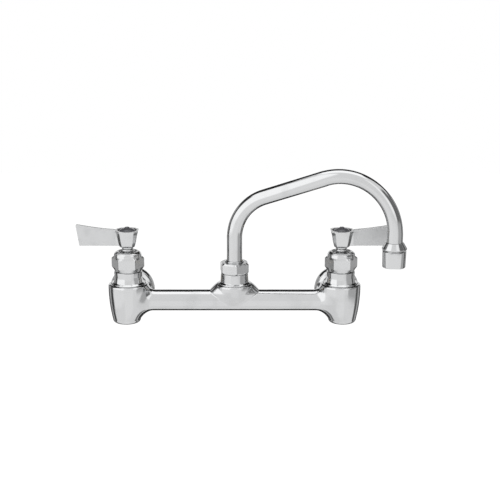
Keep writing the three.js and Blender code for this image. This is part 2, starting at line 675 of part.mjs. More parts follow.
function bonnet() {
  const waist = (bonnetFlangeTop + sleeveTop) / 2;
  const bore = STEM_THREAD_RADIUS + THREAD_GAP;
  const neck = PACKING_BOX_RADIUS + PACKING_BOX_WALL;
  const cavity = HOLDER_RADIUS + RUNNING_GAP;
  return turned([
    [cavity, BONNET_SKIRT_BOTTOM],
    [CHAMBER_RADIUS - THREAD_GAP, BONNET_SKIRT_BOTTOM],
    [CHAMBER_RADIUS - THREAD_GAP, bonnetFlangeBottom],
    [BONNET_FLANGE_RADIUS, bonnetFlangeBottom],
    [BONNET_FLANGE_RADIUS, bonnetFlangeTop - BONNET_FLANGE_SLOPE, FINE_ROUNDING],
    [SLEEVE_RADIUS + ROOT_SPREAD, bonnetFlangeTop + ROOT_HEIGHT, EDGE_ROUNDING],
    [SLEEVE_WAIST, waist, SLEEVE_CURVE],
    [SLEEVE_RADIUS, sleeveTop, FINE_ROUNDING],
    [neck, sleeveTop],
    [neck, packingBoxTop],
    [PACKING_BOX_RADIUS, packingBoxTop],
    [PACKING_BOX_RADIUS, packingBoxFloor],
    [bore, packingBoxFloor],
    [bore, bonnetThreadBottom],
    [cavity, bonnetThreadBottom],
  ]);
}

function packingNut() {
  const corner = NUT_FLATS / Math.sqrt(3);
  const blank = common(
    hexagon(NUT_FLATS, nutBottom, nutTop),
    turned([
      [0, nutBottom],
      [corner - NUT_CHAMFER, nutBottom],
      [corner, nutBottom + NUT_CHAMFER],
      [corner, hexTop],
      [corner - NUT_SHOULDER_IN, hexTop + NUT_SHOULDER_RISE],
      [NUT_DOME_RADIUS, nutTop, NUT_DOME_ROUNDING],
      [0, nutTop],
    ]),
  );
  const threadRadius = PACKING_BOX_RADIUS + PACKING_BOX_WALL + THREAD_GAP;
  const hollow = turned([
    [0, nutBottom - PAST],
    [threadRadius, nutBottom - PAST],
    [threadRadius, nutCeiling],
    [STEM_RADIUS + RUNNING_GAP, nutCeiling],
    [STEM_RADIUS + RUNNING_GAP, nutTop - NUT_EYE_DEPTH],
    [NUT_EYE_RADIUS, nutTop - NUT_EYE_DEPTH],
    [NUT_EYE_RADIUS + NUT_EYE_FLARE, nutTop + PAST],
    [0, nutTop + PAST],
  ]);
  return cut(blank, hollow);
}

// The stem ends in a spline that carries the handle; its end is drilled for the handle's screw.
function stem() {
  const threadTop = stemThreadBottom + STEM_THREAD_HEIGHT;
  const core = SPLINE_RADIUS - SPLINE_DEPTH - THIN; // just inside the spline's roots
  const shaft = turned([
    [0, stemBottom],
    [STEM_TIP_RADIUS, stemBottom],
    [STEM_TIP_RADIUS, stemThreadBottom],
    [STEM_THREAD_RADIUS, stemThreadBottom],
    [STEM_THREAD_RADIUS, threadTop],
    [STEM_RADIUS, threadTop],
    [STEM_RADIUS, collarBottom],
    [STEM_COLLAR_RADIUS, collarBottom, FINE_ROUNDING],
    [STEM_COLLAR_RADIUS, collarTop],
    [core, collarTop],
    [core, stemTop],
    [0, stemTop],
  ], SMALL);
  const star = spread(0, 2 * Math.PI, 2 * SPLINE_TEETH + 1).slice(0, -1).map((angle, i) => {
    const radius = i % 2 ? SPLINE_RADIUS - SPLINE_DEPTH : SPLINE_RADIUS;
    return new THREE.Vector2(radius * Math.cos(angle), radius * Math.sin(angle));
  });
  const spline = new THREE.ExtrudeGeometry(new THREE.Shape(star), {
    depth: SPLINE_LENGTH,
    bevelEnabled: false,
  }).translate(0, 0, collarTop);
  const hole = rod(HANDLE_SCREW_RADIUS + THREAD_GAP, stemTop - HANDLE_SCREW_LENGTH, stemTop + PAST);
  return cut(unite(shaft, spline), hole);
}

// ---------------------------------------------------------------- lever handle
const hubBottom = collarTop + SEAT_GAP;
const hubTop = hubBottom + HUB_HEIGHT;
const webBottom = stemTop + SEAT_GAP;
const webTop = webBottom + HUB_WEB;

// An eight-sided section with four wide faces and four narrow ones between them.
function hubSection(width, z) {
  const far = width / 2;
  const near = far * CORNER_SHARE;
  const corners = [[far, -near], [far, near], [near, far], [-near, far]];
  corners.push([-far, near], [-far, -near], [-near, -far], [near, -far]);
  return corners.map(([x, y]) => new THREE.Vector3(x, y, z));
}

// The upright plate, its tip slanted and its upper edge slightly hollow.
function blade() {
  const bottom = hubBottom + BLADE_BOTTOM;
  const rootTop = hubBottom + BLADE_ROOT_HEIGHT;
  const tipTop = hubBottom + BLADE_TIP_HEIGHT;
  const root = HUB_LIP_WIDTH / 2;
  const edge = BLADE_EDGE;
  const outline = new THREE.Shape();
  outline.moveTo(HUB_NECK_RADIUS, bottom + edge);
  outline.lineTo(BLADE_REACH - BLADE_SLANT - edge, bottom + edge);
  outline.lineTo(BLADE_REACH - edge, tipTop - BLADE_CORNER - edge);
  outline.quadraticCurveTo(
    BLADE_REACH - edge, tipTop - edge, BLADE_REACH - BLADE_CORNER - edge, tipTop - edge,
  );
  const middle = (BLADE_REACH + root) / 2;
  outline.quadraticCurveTo(middle, (rootTop + tipTop) / 2 - 2 * BLADE_DIP, root, rootTop - edge);
  outline.lineTo(root - BLADE_TUCK, hubTop - BLADE_TUCK_DROP);
  outline.lineTo(HUB_NECK_RADIUS, webBottom);
  const plate = new THREE.ExtrudeGeometry(outline, {
    depth: BLADE_THICKNESS - 2 * edge,
    bevelThickness: edge,
    bevelSize: edge,
    bevelSegments: 1,
    curveSegments: BLADE_CURVE_STEPS,
  });
  return plate.translate(0, 0, edge - BLADE_THICKNESS / 2).rotateX(Math.PI / 2);
}

function leverHandle() {
  const neckTop = hubBottom + HUB_NECK_HEIGHT;
  const hub = loft([
    hubSection(HUB_LOWER_WIDTH, neckTop),
    hubSection(HUB_MIDDLE_WIDTH, (neckTop + hubTop) / 2),
    hubSection(HUB_LIP_WIDTH - HUB_LIP_FLARE, hubTop - HUB_LIP_HEIGHT),
    hubSection(HUB_LIP_WIDTH, hubTop - HUB_LIP_EDGE),
    hubSection(HUB_LIP_WIDTH - HUB_LIP_EDGE, hubTop),
  ]);
  const neck = turned([
    [0, hubBottom],
    [HUB_NECK_RADIUS, hubBottom, FINE_ROUNDING],
    [HUB_NECK_RADIUS, neckTop - HUB_NECK_SPREAD],
    [HUB_LOWER_WIDTH / 2 - HUB_NECK_SPREAD, neckTop + HUB_NECK_SPREAD],
    [0, neckTop + HUB_NECK_SPREAD],
  ], SMALL);
  const hollow = turned([
    [0, hubBottom - PAST],
    [SPLINE_RADIUS + THREAD_GAP, hubBottom - PAST],
    [SPLINE_RADIUS + THREAD_GAP, webBottom],
    [HANDLE_SCREW_RADIUS + THREAD_GAP, webBottom],
    [HANDLE_SCREW_RADIUS + THREAD_GAP, webTop],
    [RECESS_MOUTH_RADIUS, webTop],
    [RECESS_MOUTH_RADIUS, hubTop + PAST],
    [0, hubTop + PAST],
  ]);
  return cut(unite(hub, neck, blade()), hollow);
}

function handleScrew() {
  const headBottom = webTop + SEAT_GAP;
  return turned([
    [0, headBottom - HANDLE_SCREW_LENGTH],
    [HANDLE_SCREW_RADIUS, headBottom - HANDLE_SCREW_LENGTH],
    [HANDLE_SCREW_RADIUS, headBottom],
    [HANDLE_SCREW_HEAD_RADIUS, headBottom],
    [HANDLE_SCREW_HEAD_RADIUS, headBottom + HANDLE_SCREW_HEAD_HEIGHT, EDGE_ROUNDING],
    [0, headBottom + HANDLE_SCREW_HEAD_HEIGHT],
  ], SMALL);
}

// A domed cap pressed into the hub's recess; it hides the screw.
function indexButton() {
  const bottom = webTop + SEAT_GAP;
  const top = bottom + BUTTON_HEIGHT;
  const rim = RECESS_MOUTH_RADIUS - SEAT_GAP;
  const domeRadius = (rim ** 2 + BUTTON_DOME ** 2) / (2 * BUTTON_DOME);
  const domeHeight = (r) => top - domeRadius + Math.sqrt(domeRadius ** 2 - r ** 2);
  const dome = spread(0, rim, DOME_STEPS).map((r) => [r, domeHeight(r)]);
  const ceiling = top - BUTTON_DOME + BUTTON_CEILING_RISE;
  return turned([
    [0, ceiling],
    [rim - BUTTON_WALL, ceiling],
    [rim - BUTTON_WALL, bottom],
    [rim, bottom],
    ...dome.reverse(),
  ]);
}

function valve(side, outward) {
  const group = new THREE.Group();
  const handle = new THREE.Group();
  handle.rotation.z = outward > 0 ? 0 : Math.PI;
  handle.add(
    piece(`${side}_lever_handle`, leverHandle(), chrome),
    piece(`${side}_handle_screw`, handleScrew(), stainless),
    piece(`${side}_index_button`, indexButton(), darkPlastic),
  );
  const bore = STEM_RADIUS + RUNNING_GAP;
  group.add(
    piece(`${side}_valve_seat`, valveSeat(), stainless),
    piece(`${side}_seat_washer`,
      ring(WASHER_SCREW_RADIUS + SEAT_GAP, WASHER_RADIUS, washerBottom, washerTop, SMALL), rubber),
    piece(`${side}_washer_screw`, washerScrew(), brass),
    piece(`${side}_washer_holder`, washerHolder(), brass),
    piece(`${side}_bonnet_gasket`,
      ring(CHAMBER_RADIUS, BONNET_FLANGE_RADIUS - GASKET_INSET, gasketBottom,
        gasketBottom + GASKET_THICKNESS), graphite),
    piece(`${side}_bonnet`, bonnet(), chrome),
    piece(`${side}_packing`,
      ring(bore, PACKING_BOX_RADIUS - SEAT_GAP, packingBoxFloor + SEAT_GAP, packingTop, SMALL), graphite),
    piece(`${side}_gland`,
      ring(bore, PACKING_BOX_RADIUS - SEAT_GAP, packingTop + SEAT_GAP, glandTop, SMALL), brass),
    piece(`${side}_packing_nut`, packingNut(), chrome),
    piece(`${side}_stem`, stem(), roughChrome),
    handle,
  );
  return group;
}

// ---------------------------------------------------------------- spout swivel
const adapterGasketBottom = RIM_HEIGHT - RECESS_DEPTH + SEAT_GAP;
const adapterFlangeBottom = adapterGasketBottom + GASKET_THICKNESS + SEAT_GAP;
const adapterFlangeTop = adapterFlangeBottom + ADAPTER_FLANGE_HEIGHT;
const adapterCollarTop = adapterFlangeTop + ADAPTER_COLLAR_HEIGHT;
const adapterTop = adapterCollarTop + ADAPTER_NECK_HEIGHT;
const swivelFloor = adapterFlangeBottom + SWIVEL_FLOOR;
const lowerRingBottom = swivelFloor + SEAT_GAP;
const bearingBottom = lowerRingBottom + O_RING_SECTION + SEAT_GAP;
const upperRingBottom = bearingBottom + BEARING_LENGTH + SEAT_GAP;
const ferruleBottom = adapterTop + SEAT_GAP;
const ferruleTop = ferruleBottom + FERRULE_FLANGE_HEIGHT;
const spoutNutBottom = adapterCollarTop + SEAT_GAP;
const spoutNutCeiling = ferruleTop + SEAT_GAP;
const spoutNutTop = Math.max(spoutNutBottom + SPOUT_NUT_HEIGHT, spoutNutCeiling + SPOUT_NUT_CEILING);

function swivelAdapter() {
  const bottom = bossFloor + ADAPTER_STAND;
  return turned([
    [ADAPTER_WATERWAY_RADIUS, bottom],
    [ADAPTER_THREAD_RADIUS, bottom],
    [ADAPTER_THREAD_RADIUS, adapterFlangeBottom],
    [ADAPTER_FLANGE_RADIUS, adapterFlangeBottom],
    [ADAPTER_FLANGE_RADIUS, adapterFlangeTop, EDGE_ROUNDING],
    [ADAPTER_RADIUS, adapterFlangeTop + ROOT_HEIGHT, EDGE_ROUNDING],
    [ADAPTER_RADIUS, adapterCollarTop, EDGE_ROUNDING],
    [ADAPTER_NECK_RADIUS, adapterCollarTop],
    [ADAPTER_NECK_RADIUS, adapterTop],
    [ADAPTER_BORE_RADIUS, adapterTop],
    [ADAPTER_BORE_RADIUS, swivelFloor],
    [ADAPTER_WATERWAY_RADIUS, swivelFloor],
  ]);
}

// A seal of round section in the gap between the tube and the adapter.
function oRing(bottom) {
  const middle = (TUBE_RADIUS + ADAPTER_BORE_RADIUS) / 2;
  const half = O_RING_SECTION / 2;
  const section = spread(0, 2 * Math.PI, TINY + 1).slice(0, -1).map((angle) => [
    middle + half * Math.cos(angle), bottom + half + half * Math.sin(angle),
  ]);
  return turned(section);
}

function spoutNut() {
  const corner = SPOUT_NUT_FLATS / Math.sqrt(3);
  const blank = common(
    hexagon(SPOUT_NUT_FLATS, spoutNutBottom, spoutNutTop),
    turned([
      [0, spoutNutBottom],
      [corner - SPOUT_NUT_CHAMFER, spoutNutBottom],
      [corner, spoutNutBottom + SPOUT_NUT_CHAMFER],
      [corner, spoutNutTop - SPOUT_NUT_CHAMFER],
      [corner - SPOUT_NUT_BEVEL, spoutNutTop],
      [0, spoutNutTop],
    ]),
  );
  const hollow = turned([
    [0, spoutNutBottom - PAST],
    [ADAPTER_NECK_RADIUS + THREAD_GAP, spoutNutBottom - PAST],
    [ADAPTER_NECK_RADIUS + THREAD_GAP, spoutNutCeiling],
    [FERRULE_NECK_RADIUS + RUNNING_GAP, spoutNutCeiling],
    [FERRULE_NECK_RADIUS + RUNNING_GAP, spoutNutTop + PAST],
    [0, spoutNutTop + PAST],
  ]);
  return cut(blank, hollow);
}

// The ring brazed to the tube that the nut draws down on the adapter.
function ferrule() {
  const bore = TUBE_RADIUS + SEAT_GAP;
  return turned([
    [bore, ferruleBottom],
    [ADAPTER_NECK_RADIUS, ferruleBottom],
    [ADAPTER_NECK_RADIUS, ferruleTop],
    [FERRULE_NECK_RADIUS, ferruleTop],
    [FERRULE_NECK_RADIUS, ferruleTop + FERRULE_NECK_HEIGHT - EDGE_ROUNDING],
    [bore + FERRULE_LAND, ferruleTop + FERRULE_NECK_HEIGHT],
    [bore, ferruleTop + FERRULE_NECK_HEIGHT],
  ]);
}

// ---------------------------------------------------------------- spout
// The tube's centre line in the XZ plane: up, over in two bends, and down to the outlet.
function spoutPath() {
  const straightRun =
    SPOUT_REACH - FIRST_BEND * (1 - Math.sin(CLIMB)) - SECOND_BEND * (1 + Math.sin(CLIMB));
  const path = new THREE.CurvePath();
  const add = (from, to) => path.add(new THREE.LineCurve3(from, to));
  const point = (x, z) => new THREE.Vector3(x, 0, z);
  const bend = (centre, radius, from, to) => {
    const arc = new THREE.Curve();
    arc.getPoint = (t, target = new THREE.Vector3()) => {
      const angle = THREE.MathUtils.lerp(from, to, t);
      return target.set(centre.x + radius * Math.cos(angle), 0, centre.z + radius * Math.sin(angle));
    };
    path.add(arc);
  };
  const firstCentre = point(FIRST_BEND, RISER_HEIGHT);
  const tilt = Math.PI / 2 + CLIMB;
  const climbStart = point(
    firstCentre.x + FIRST_BEND * Math.cos(tilt), firstCentre.z + FIRST_BEND * Math.sin(tilt),
  );
  const climbEnd = point(climbStart.x + straightRun, climbStart.z + straightRun * Math.tan(CLIMB));
  const secondCentre = point(
    climbEnd.x - SECOND_BEND * Math.cos(tilt), climbEnd.z - SECOND_BEND * Math.sin(tilt),
  );
  add(point(0, swivelFloor + SEAT_GAP), point(0, RISER_HEIGHT));
  bend(firstCentre, FIRST_BEND, Math.PI, tilt);
  add(climbStart, climbEnd);
  bend(secondCentre, SECOND_BEND, tilt, 0);
  add(point(SPOUT_REACH, secondCentre.z), point(SPOUT_REACH, SPOUT_END));
  return path;
}

function spoutTube() {
  const circle = (radius, sides) =>
    spread(0, 2 * Math.PI, sides + 1).slice(0, -1).map((angle) =>
      new THREE.Vector2(radius * Math.cos(angle), radius * Math.sin(angle)),
    );
  const section = new THREE.Shape(circle(TUBE_RADIUS, TUBE_SIDES));
  section.holes.push(new THREE.Path(circle(TUBE_RADIUS - TUBE_WALL, TUBE_SIDES / 2)));
  return new THREE.ExtrudeGeometry(section, {
    extrudePath: spoutPath(),
    steps: TUBE_STEPS,
    bevelEnabled: false,
  });
}

// ---------------------------------------------------------------- outlet
// The outlet about the Z axis, its heights above the bar's axis.
const tubeSocketFloor = SPOUT_END - SEAT_GAP;
const nozzleShoulder = tubeSocketFloor - NOZZLE_WEB;
const shellTop = nozzleShoulder - SHELL_GROOVE;
const shellBottom = shellTop - SHELL_HEIGHT;
const aeratorBottom = shellBottom + SHELL_LIP + SEAT_GAP;
const aeratorTop = aeratorBottom + AERATOR_HEIGHT;
const outletWasherBottom = aeratorTop + SEAT_GAP;
const shellBore = NOZZLE_THREAD_RADIUS + THREAD_GAP;

function nozzle() {
  const bore = TUBE_RADIUS + SEAT_GAP;
  const coneTop = nozzleShoulder + NOZZLE_CONE_HEIGHT;
  const threadBottom = nozzleShoulder - NOZZLE_THREAD_LENGTH;
  const waterway = TUBE_RADIUS - TUBE_WALL;
  return turned([
    [waterway, threadBottom],
    [NOZZLE_THREAD_RADIUS, threadBottom],
    [NOZZLE_THREAD_RADIUS, nozzleShoulder],
    [NOZZLE_RADIUS, nozzleShoulder, FINE_ROUNDING],
    [NOZZLE_RADIUS, nozzleShoulder + NOZZLE_RIM, EDGE_ROUNDING],
    [bore + NOZZLE_LIP, coneTop, FINE_ROUNDING],
    [bore, coneTop],
    [bore, tubeSocketFloor],
    [waterway, tubeSocketFloor],
  ]);
}

// A round shell with two wrench flats.
function aeratorShell() {
  const bottom = shellBottom;
  const blank = turned([
    [0, bottom],
    [SHELL_FOOT_RADIUS, bottom, EDGE_ROUNDING],
    [SHELL_RADIUS, shellTop, FINE_ROUNDING],
    [0, shellTop],
  ]);
  const flats = [-1, 1].map((way) =>
    new THREE.BoxGeometry(2 * (SHELL_RADIUS + PAST), SHELL_RADIUS, SHELL_HEIGHT).translate(
      0, way * (SHELL_FLAT + SHELL_RADIUS / 2), (shellTop + bottom) / 2 - SHELL_FLAT_TOP,
    ),
  );
  const hollow = turned([
    [0, bottom - PAST],
    [SHELL_MOUTH_RADIUS, bottom - PAST],
    [SHELL_MOUTH_RADIUS, bottom + SHELL_LIP],
    [shellBore, bottom + SHELL_LIP],
    [shellBore, shellTop + PAST],
    [0, shellTop + PAST],
  ]);
  return cut(blank, ...flats, hollow);
}

// The plastic insert: a plate with small holes that breaks up the stream.
function aerator() {
  const plate = rod(shellBore - SEAT_GAP, aeratorBottom, aeratorTop, ROUND);
  const drill = (x, y) =>
    rod(AERATOR_HOLE_RADIUS, aeratorBottom - PAST, aeratorTop + PAST, TINY).translate(x, y, 0);
  const holes = [drill(0, 0)];
  for (const angle of spread(0, 2 * Math.PI, AERATOR_HOLES + 1).slice(0, -1)) {
    holes.push(drill(AERATOR_HOLE_CIRCLE * Math.cos(angle), AERATOR_HOLE_CIRCLE * Math.sin(angle)));
  }
  return cut(plate, ...holes);
}

function spout() {
  const group = new THREE.Group();
  const outlet = new THREE.Group();
  outlet.position.x = SPOUT_REACH;
  outlet.rotation.z = -SPOUT_SWING;
  outlet.add(
    piece("outlet_nozzle", nozzle(), chrome),
    piece("aerator_shell", aeratorShell(), chrome),
    piece("aerator_insert", aerator(), nylon),
    piece("outlet_washer",
      ring(SHELL_MOUTH_RADIUS - OUTLET_WASHER_INSET, shellBore - SEAT_GAP, outletWasherBottom,
        outletWasherBottom + OUTLET_WASHER_THICKNESS), rubber),
  );
  group.rotation.z = SPOUT_SWING;
  group.add(
    piece("spout_tube", spoutTube(), chrome),
    piece("spout_ferrule", ferrule(), chrome),
    piece("lower_o_ring", oRing(lowerRingBottom), rubber),
    piece("upper_o_ring", oRing(upperRingBottom), rubber),
    piece("swivel_bearing",
      ring(TUBE_RADIUS + BEARING_GAP, ADAPTER_BORE_RADIUS - RUNNING_GAP, bearingBottom,
        bearingBottom + BEARING_LENGTH), nylon),
    outlet,
  );
  return group;
}

// ---------------------------------------------------------------- assembly
function faucet() {
  const whole = new THREE.Group();
  const front = new THREE.Group(); // all that hangs on the bar's axis
  front.position.y = -AXIS_TO_WALL;
  for (const [side, outward] of [["left", -1], ["right", 1]]) {
    const x = (outward * INLET_CENTRES) / 2;
    const supply = inlet(side);
    supply.position.x = x;
    whole.add(supply);
    const control = valve(side, outward);
    control.position.x = x;
    front.add(control);
  }
  const nut = piece("spout_nut", spoutNut(), chrome);
  nut.rotation.z = SPOUT_NUT_TURN;
  front.add(
    piece("valve_body", valveBody(), chrome),
    piece("adapter_gasket",
      ring(ADAPTER_THREAD_RADIUS + THREAD_GAP, ADAPTER_FLANGE_RADIUS - GASKET_INSET, adapterGasketBottom,
        adapterGasketBottom + GASKET_THICKNESS), graphite),
    piece("swivel_adapter", swivelAdapter(), chrome),
    nut,
    spout(),
  );
  whole.add(front);
  return whole;
}

export default faucet();
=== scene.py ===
import math

import bmesh
import bpy
import numpy as np
from mathutils import Matrix, Vector


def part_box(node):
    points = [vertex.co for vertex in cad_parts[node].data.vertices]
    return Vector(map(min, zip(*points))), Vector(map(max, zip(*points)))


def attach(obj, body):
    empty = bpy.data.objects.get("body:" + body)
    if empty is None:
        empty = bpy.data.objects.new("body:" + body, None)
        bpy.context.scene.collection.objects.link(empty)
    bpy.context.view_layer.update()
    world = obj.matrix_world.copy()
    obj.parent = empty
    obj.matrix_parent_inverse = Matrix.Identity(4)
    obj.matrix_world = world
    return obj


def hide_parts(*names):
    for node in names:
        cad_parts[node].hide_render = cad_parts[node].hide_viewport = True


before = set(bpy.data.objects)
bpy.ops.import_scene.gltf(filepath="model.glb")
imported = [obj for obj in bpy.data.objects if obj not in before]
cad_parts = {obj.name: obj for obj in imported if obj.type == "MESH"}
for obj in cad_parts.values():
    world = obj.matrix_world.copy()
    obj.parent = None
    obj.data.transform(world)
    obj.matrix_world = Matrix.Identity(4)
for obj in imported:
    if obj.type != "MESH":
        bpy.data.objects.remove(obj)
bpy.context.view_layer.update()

mm = 0.001

# ------------------------------------------------------------------ camera, lamp, tent and floor
# A long lens from just above, as for a catalogue picture. The faucet hangs clear of everything
# inside a tent, whose dark and bright panels show in the chrome, under one wide soft lamp.
bonnet_low, bonnet_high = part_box("left_bonnet")
AXIS_TO_WALL = -(bonnet_low.y + bonnet_high.y) / 2
AIM = Vector((0, -AXIS_TO_WALL, 0))
CAMERA_DISTANCE = 1150 * mm
CAMERA_RISE = math.radians(17)
LENS = 86
FILM_WIDTH = 36
FRAME_SHIFT = (0.031, 0.100)
NEAREST_SEEN = 50 * mm


def placed(name, data):
    """A new object with this data, in the scene."""
    new = bpy.data.objects.new(name, data)
    bpy.context.scene.collection.objects.link(new)
    return new


camera = placed("camera", bpy.data.cameras.new("camera"))
towards_camera = Vector((0, -math.cos(CAMERA_RISE), math.sin(CAMERA_RISE)))
camera.location = AIM + towards_camera * CAMERA_DISTANCE
camera.rotation_mode = "QUATERNION"
camera.rotation_quaternion = (-towards_camera).to_track_quat("-Z", "Y")
camera.data.lens = LENS
camera.data.sensor_width = FILM_WIDTH
camera.data.shift_x, camera.data.shift_y = FRAME_SHIFT
camera.data.clip_start = NEAREST_SEEN
bpy.context.scene.camera = camera
bpy.context.scene.view_settings.view_transform = "Standard"


class Value:
    """An output socket that can stand in a Python sum: each operator adds a Math node."""

    def __init__(self, tree, socket):
        self.tree = tree
        self.socket = socket

    def math(self, operation, *others):
        sockets = dict(enumerate((self, *others)))
        node = self.tree.add("ShaderNodeMath", {"operation": operation}, sockets)
        return Value(self.tree, node.outputs[0])

    def __add__(self, other):
        return self.math("ADD", other)

    def __mul__(self, other):
        return self.math("MULTIPLY", other)

    def __sub__(self, other):
        return self.math("SUBTRACT", other)

    def __rsub__(self, other):
        return self.math("MULTIPLY_ADD", -1, other)

    __radd__ = __add__
    __rmul__ = __mul__

    def step(self, low, high):
        """0 below low, 1 above high and smooth between them."""
        settings = {"interpolation_type": "SMOOTHSTEP"}
        sockets = {"Value": self, "From Min": low, "From Max": high}
        node = self.tree.add("ShaderNodeMapRange", settings, sockets)
        return Value(self.tree, node.outputs["Result"])


class Nodes:
    """The node tree of a material or of the world, or one of Geometry Nodes."""

    def __init__(self, owner):
        self.tree = owner
        if not isinstance(owner, bpy.types.NodeTree):
            owner.use_nodes = True
            self.tree = owner.node_tree
        self.links = self.tree.links
        self.tree.nodes.clear()

    def add(self, kind, settings=None, sockets=None):
        """A new node; inputs are set or linked by number, name or identifier."""
        node = self.tree.nodes.new(kind)
        for name, value in (settings or {}).items():
            setattr(node, name, value)
        for key, value in (sockets or {}).items():
            target = self.socket(node.inputs, key)
            value = value.socket if isinstance(value, Value) else value
            if isinstance(value, bpy.types.NodeSocket):
                self.links.new(value, target)
            else:
                target.default_value = value
        return node

    def socket(self, sockets, key):
        if isinstance(key, int):
            return sockets[key]
        return next(s for s in sockets if key in (s.identifier, s.name))

    def out(self, kind, output, settings=None, sockets=None):
        return Value(self, self.socket(self.add(kind, settings, sockets).outputs, output))


def ray_kinds(nodes):
    """Three values that are 1 for a ray from the camera, a mirrored one and one through glass."""
    path = nodes.add("ShaderNodeLightPath").outputs
    return (Value(nodes, path[f"Is {kind} Ray"]) for kind in ("Camera", "Glossy", "Transmission"))


LEVEL = 0.55  # of the studio's plain light on matt surfaces
world = Nodes(bpy.data.worlds.new("studio"))
bpy.context.scene.world = bpy.data.worlds["studio"]
seen, mirrored, through = ray_kinds(world)
white = (seen + mirrored + through).step(0, 1)
background = world.add("ShaderNodeBackground", {}, {
    "Color": (1, 1, 1, 1),
    "Strength": white * (1 - LEVEL) + LEVEL,
})
world.add("ShaderNodeOutputWorld", {}, {"Surface": background.outputs[0]})

LAMP_PLACE = Vector((0, 0.256, 1.704))
LAMP_WIDTH = 1.6
LAMP_DEPTH = 1.19
LAMP_RADIANCE = 1.55  # where a white card has 1
softbox_light = bpy.data.lights.new("top_softbox", "AREA")
softbox_light.shape = "RECTANGLE"
softbox_light.size = LAMP_WIDTH
softbox_light.size_y = LAMP_DEPTH
softbox_light.energy = LAMP_RADIANCE * math.pi * LAMP_WIDTH * LAMP_DEPTH
softbox = placed("top_softbox", softbox_light)
softbox.location = LAMP_PLACE
softbox.rotation_mode = "QUATERNION"
softbox.rotation_quaternion = (LAMP_PLACE - AIM).to_track_quat("Z", "Y")
softbox.visible_camera = False
softbox.visible_glossy = False  # the tent's top panel stands for it in the chrome

TENT_RADIUS = 1.0
SOFT = 3  # degrees over which a panel of the tent fades at its edges
# Each panel has its azimuths, its elevations and its tone, where plain white cloth has 1. Azimuth 0
# is straight behind the faucet, and 90 is to its right. A later panel hangs in front.
PANELS = (
    ((-52, 52), (-40, 34), 0.1),  # dark surround of the backdrop
    ((-36, 36), (-14, 20), 0.95),  # white backdrop
    ((-64, -53), (-62, 34), 0.5),  # grey strips beside it
    ((53, 66), (-62, 34), 0.5),
    ((-50, 50), (-76, -40), 0.02),  # black cloth below the backdrop and above it
    ((-65, 66), (24, 66), 0.02),
    ((-85, -64), (-68, 44), 0.07),  # dark cloths at the sides
    ((66, 86), (-68, 34), 0.12),
    ((87, 134), (-21, 6), 0.55),  # grey and dark card at the right
    ((87, 126), (6, 46), 0.2),
    ((127, 154), (8, 60), 1.3),  # bright panels at the front, right and left
    ((-150, -88), (-8, 60), 1.45),
    ((-100, -68), (46, 60), 1.45),
    ((-155, -90), (-28, -8), 1.1),
)
FRONT_AZIMUTHS = (155, 200)  # to either side
FRONT_ELEVATIONS = (-56, 2)
FRONT_GAIN = 0.07  # over plain white cloth
TOP_PANEL_SIDE = 0.47  # slope from straight up to the top panel's edges
TOP_PANEL_FRONT = 0.16
TOP_PANEL_BACK = 0.47
TOP_PANEL_SOFT = 0.04
tent_shape = bmesh.new()
bmesh.ops.create_uvsphere(tent_shape, u_segments=96, v_segments=48, radius=TENT_RADIUS,
                          matrix=Matrix.Translation(AIM))
tent_mesh = bpy.data.meshes.new("tent")
tent_shape.to_mesh(tent_mesh)
tent_shape.free()
tent = placed("tent", tent_mesh)
tent_cloth = bpy.data.materials.new("tent_panels")
cloth = Nodes(tent_cloth)
cloth_place = cloth.add("ShaderNodeTexCoord").outputs["Object"]
from_middle = cloth.add("ShaderNodeVectorMath", {"operation": "SUBTRACT"}, {0: cloth_place, 1: AIM})
axes = cloth.add("ShaderNodeSeparateXYZ", {}, {0: from_middle.outputs[0]}).outputs
to_right, to_back, upward = (Value(cloth, axis) for axis in axes)
azimuth = to_right.math("ARCTAN2", to_back) * math.degrees(1)
elevation = (upward * (1 / TENT_RADIUS)).math("ARCSINE") * math.degrees(1)


def within(value, low, high, soft):
    """1 between low and high, with soft ends."""
    return value.step(low - soft, low + soft) * (1 - value.step(high - soft, high + soft))


off_middle = within(azimuth.math("ABSOLUTE"), *FRONT_AZIMUTHS, SOFT)
shade = off_middle * within(elevation, *FRONT_ELEVATIONS, SOFT) * FRONT_GAIN + 1
for azimuths, elevations, tone in PANELS:
    mask = within(azimuth, *azimuths, SOFT) * within(elevation, *elevations, SOFT)
    shade = shade * (1 - mask) + mask * tone
side_slope = to_right.math("DIVIDE", upward)
back_slope = to_back.math("DIVIDE", upward)
top_panel = (within(side_slope, -TOP_PANEL_SIDE, TOP_PANEL_SIDE, TOP_PANEL_SOFT)
             * within(back_slope, -TOP_PANEL_FRONT, TOP_PANEL_BACK, TOP_PANEL_SOFT)
             * upward.step(0, 0.1))
shade = shade * (1 - top_panel) + top_panel * LAMP_RADIANCE
tent_glow = cloth.add("ShaderNodeEmission", {}, {"Color": shade})
cloth.add("ShaderNodeOutputMaterial", {}, {"Surface": tent_glow.outputs[0]})
tent.data.materials.append(tent_cloth)
tent.visible_camera = False
tent.visible_shadow = False
tent.visible_diffuse = False

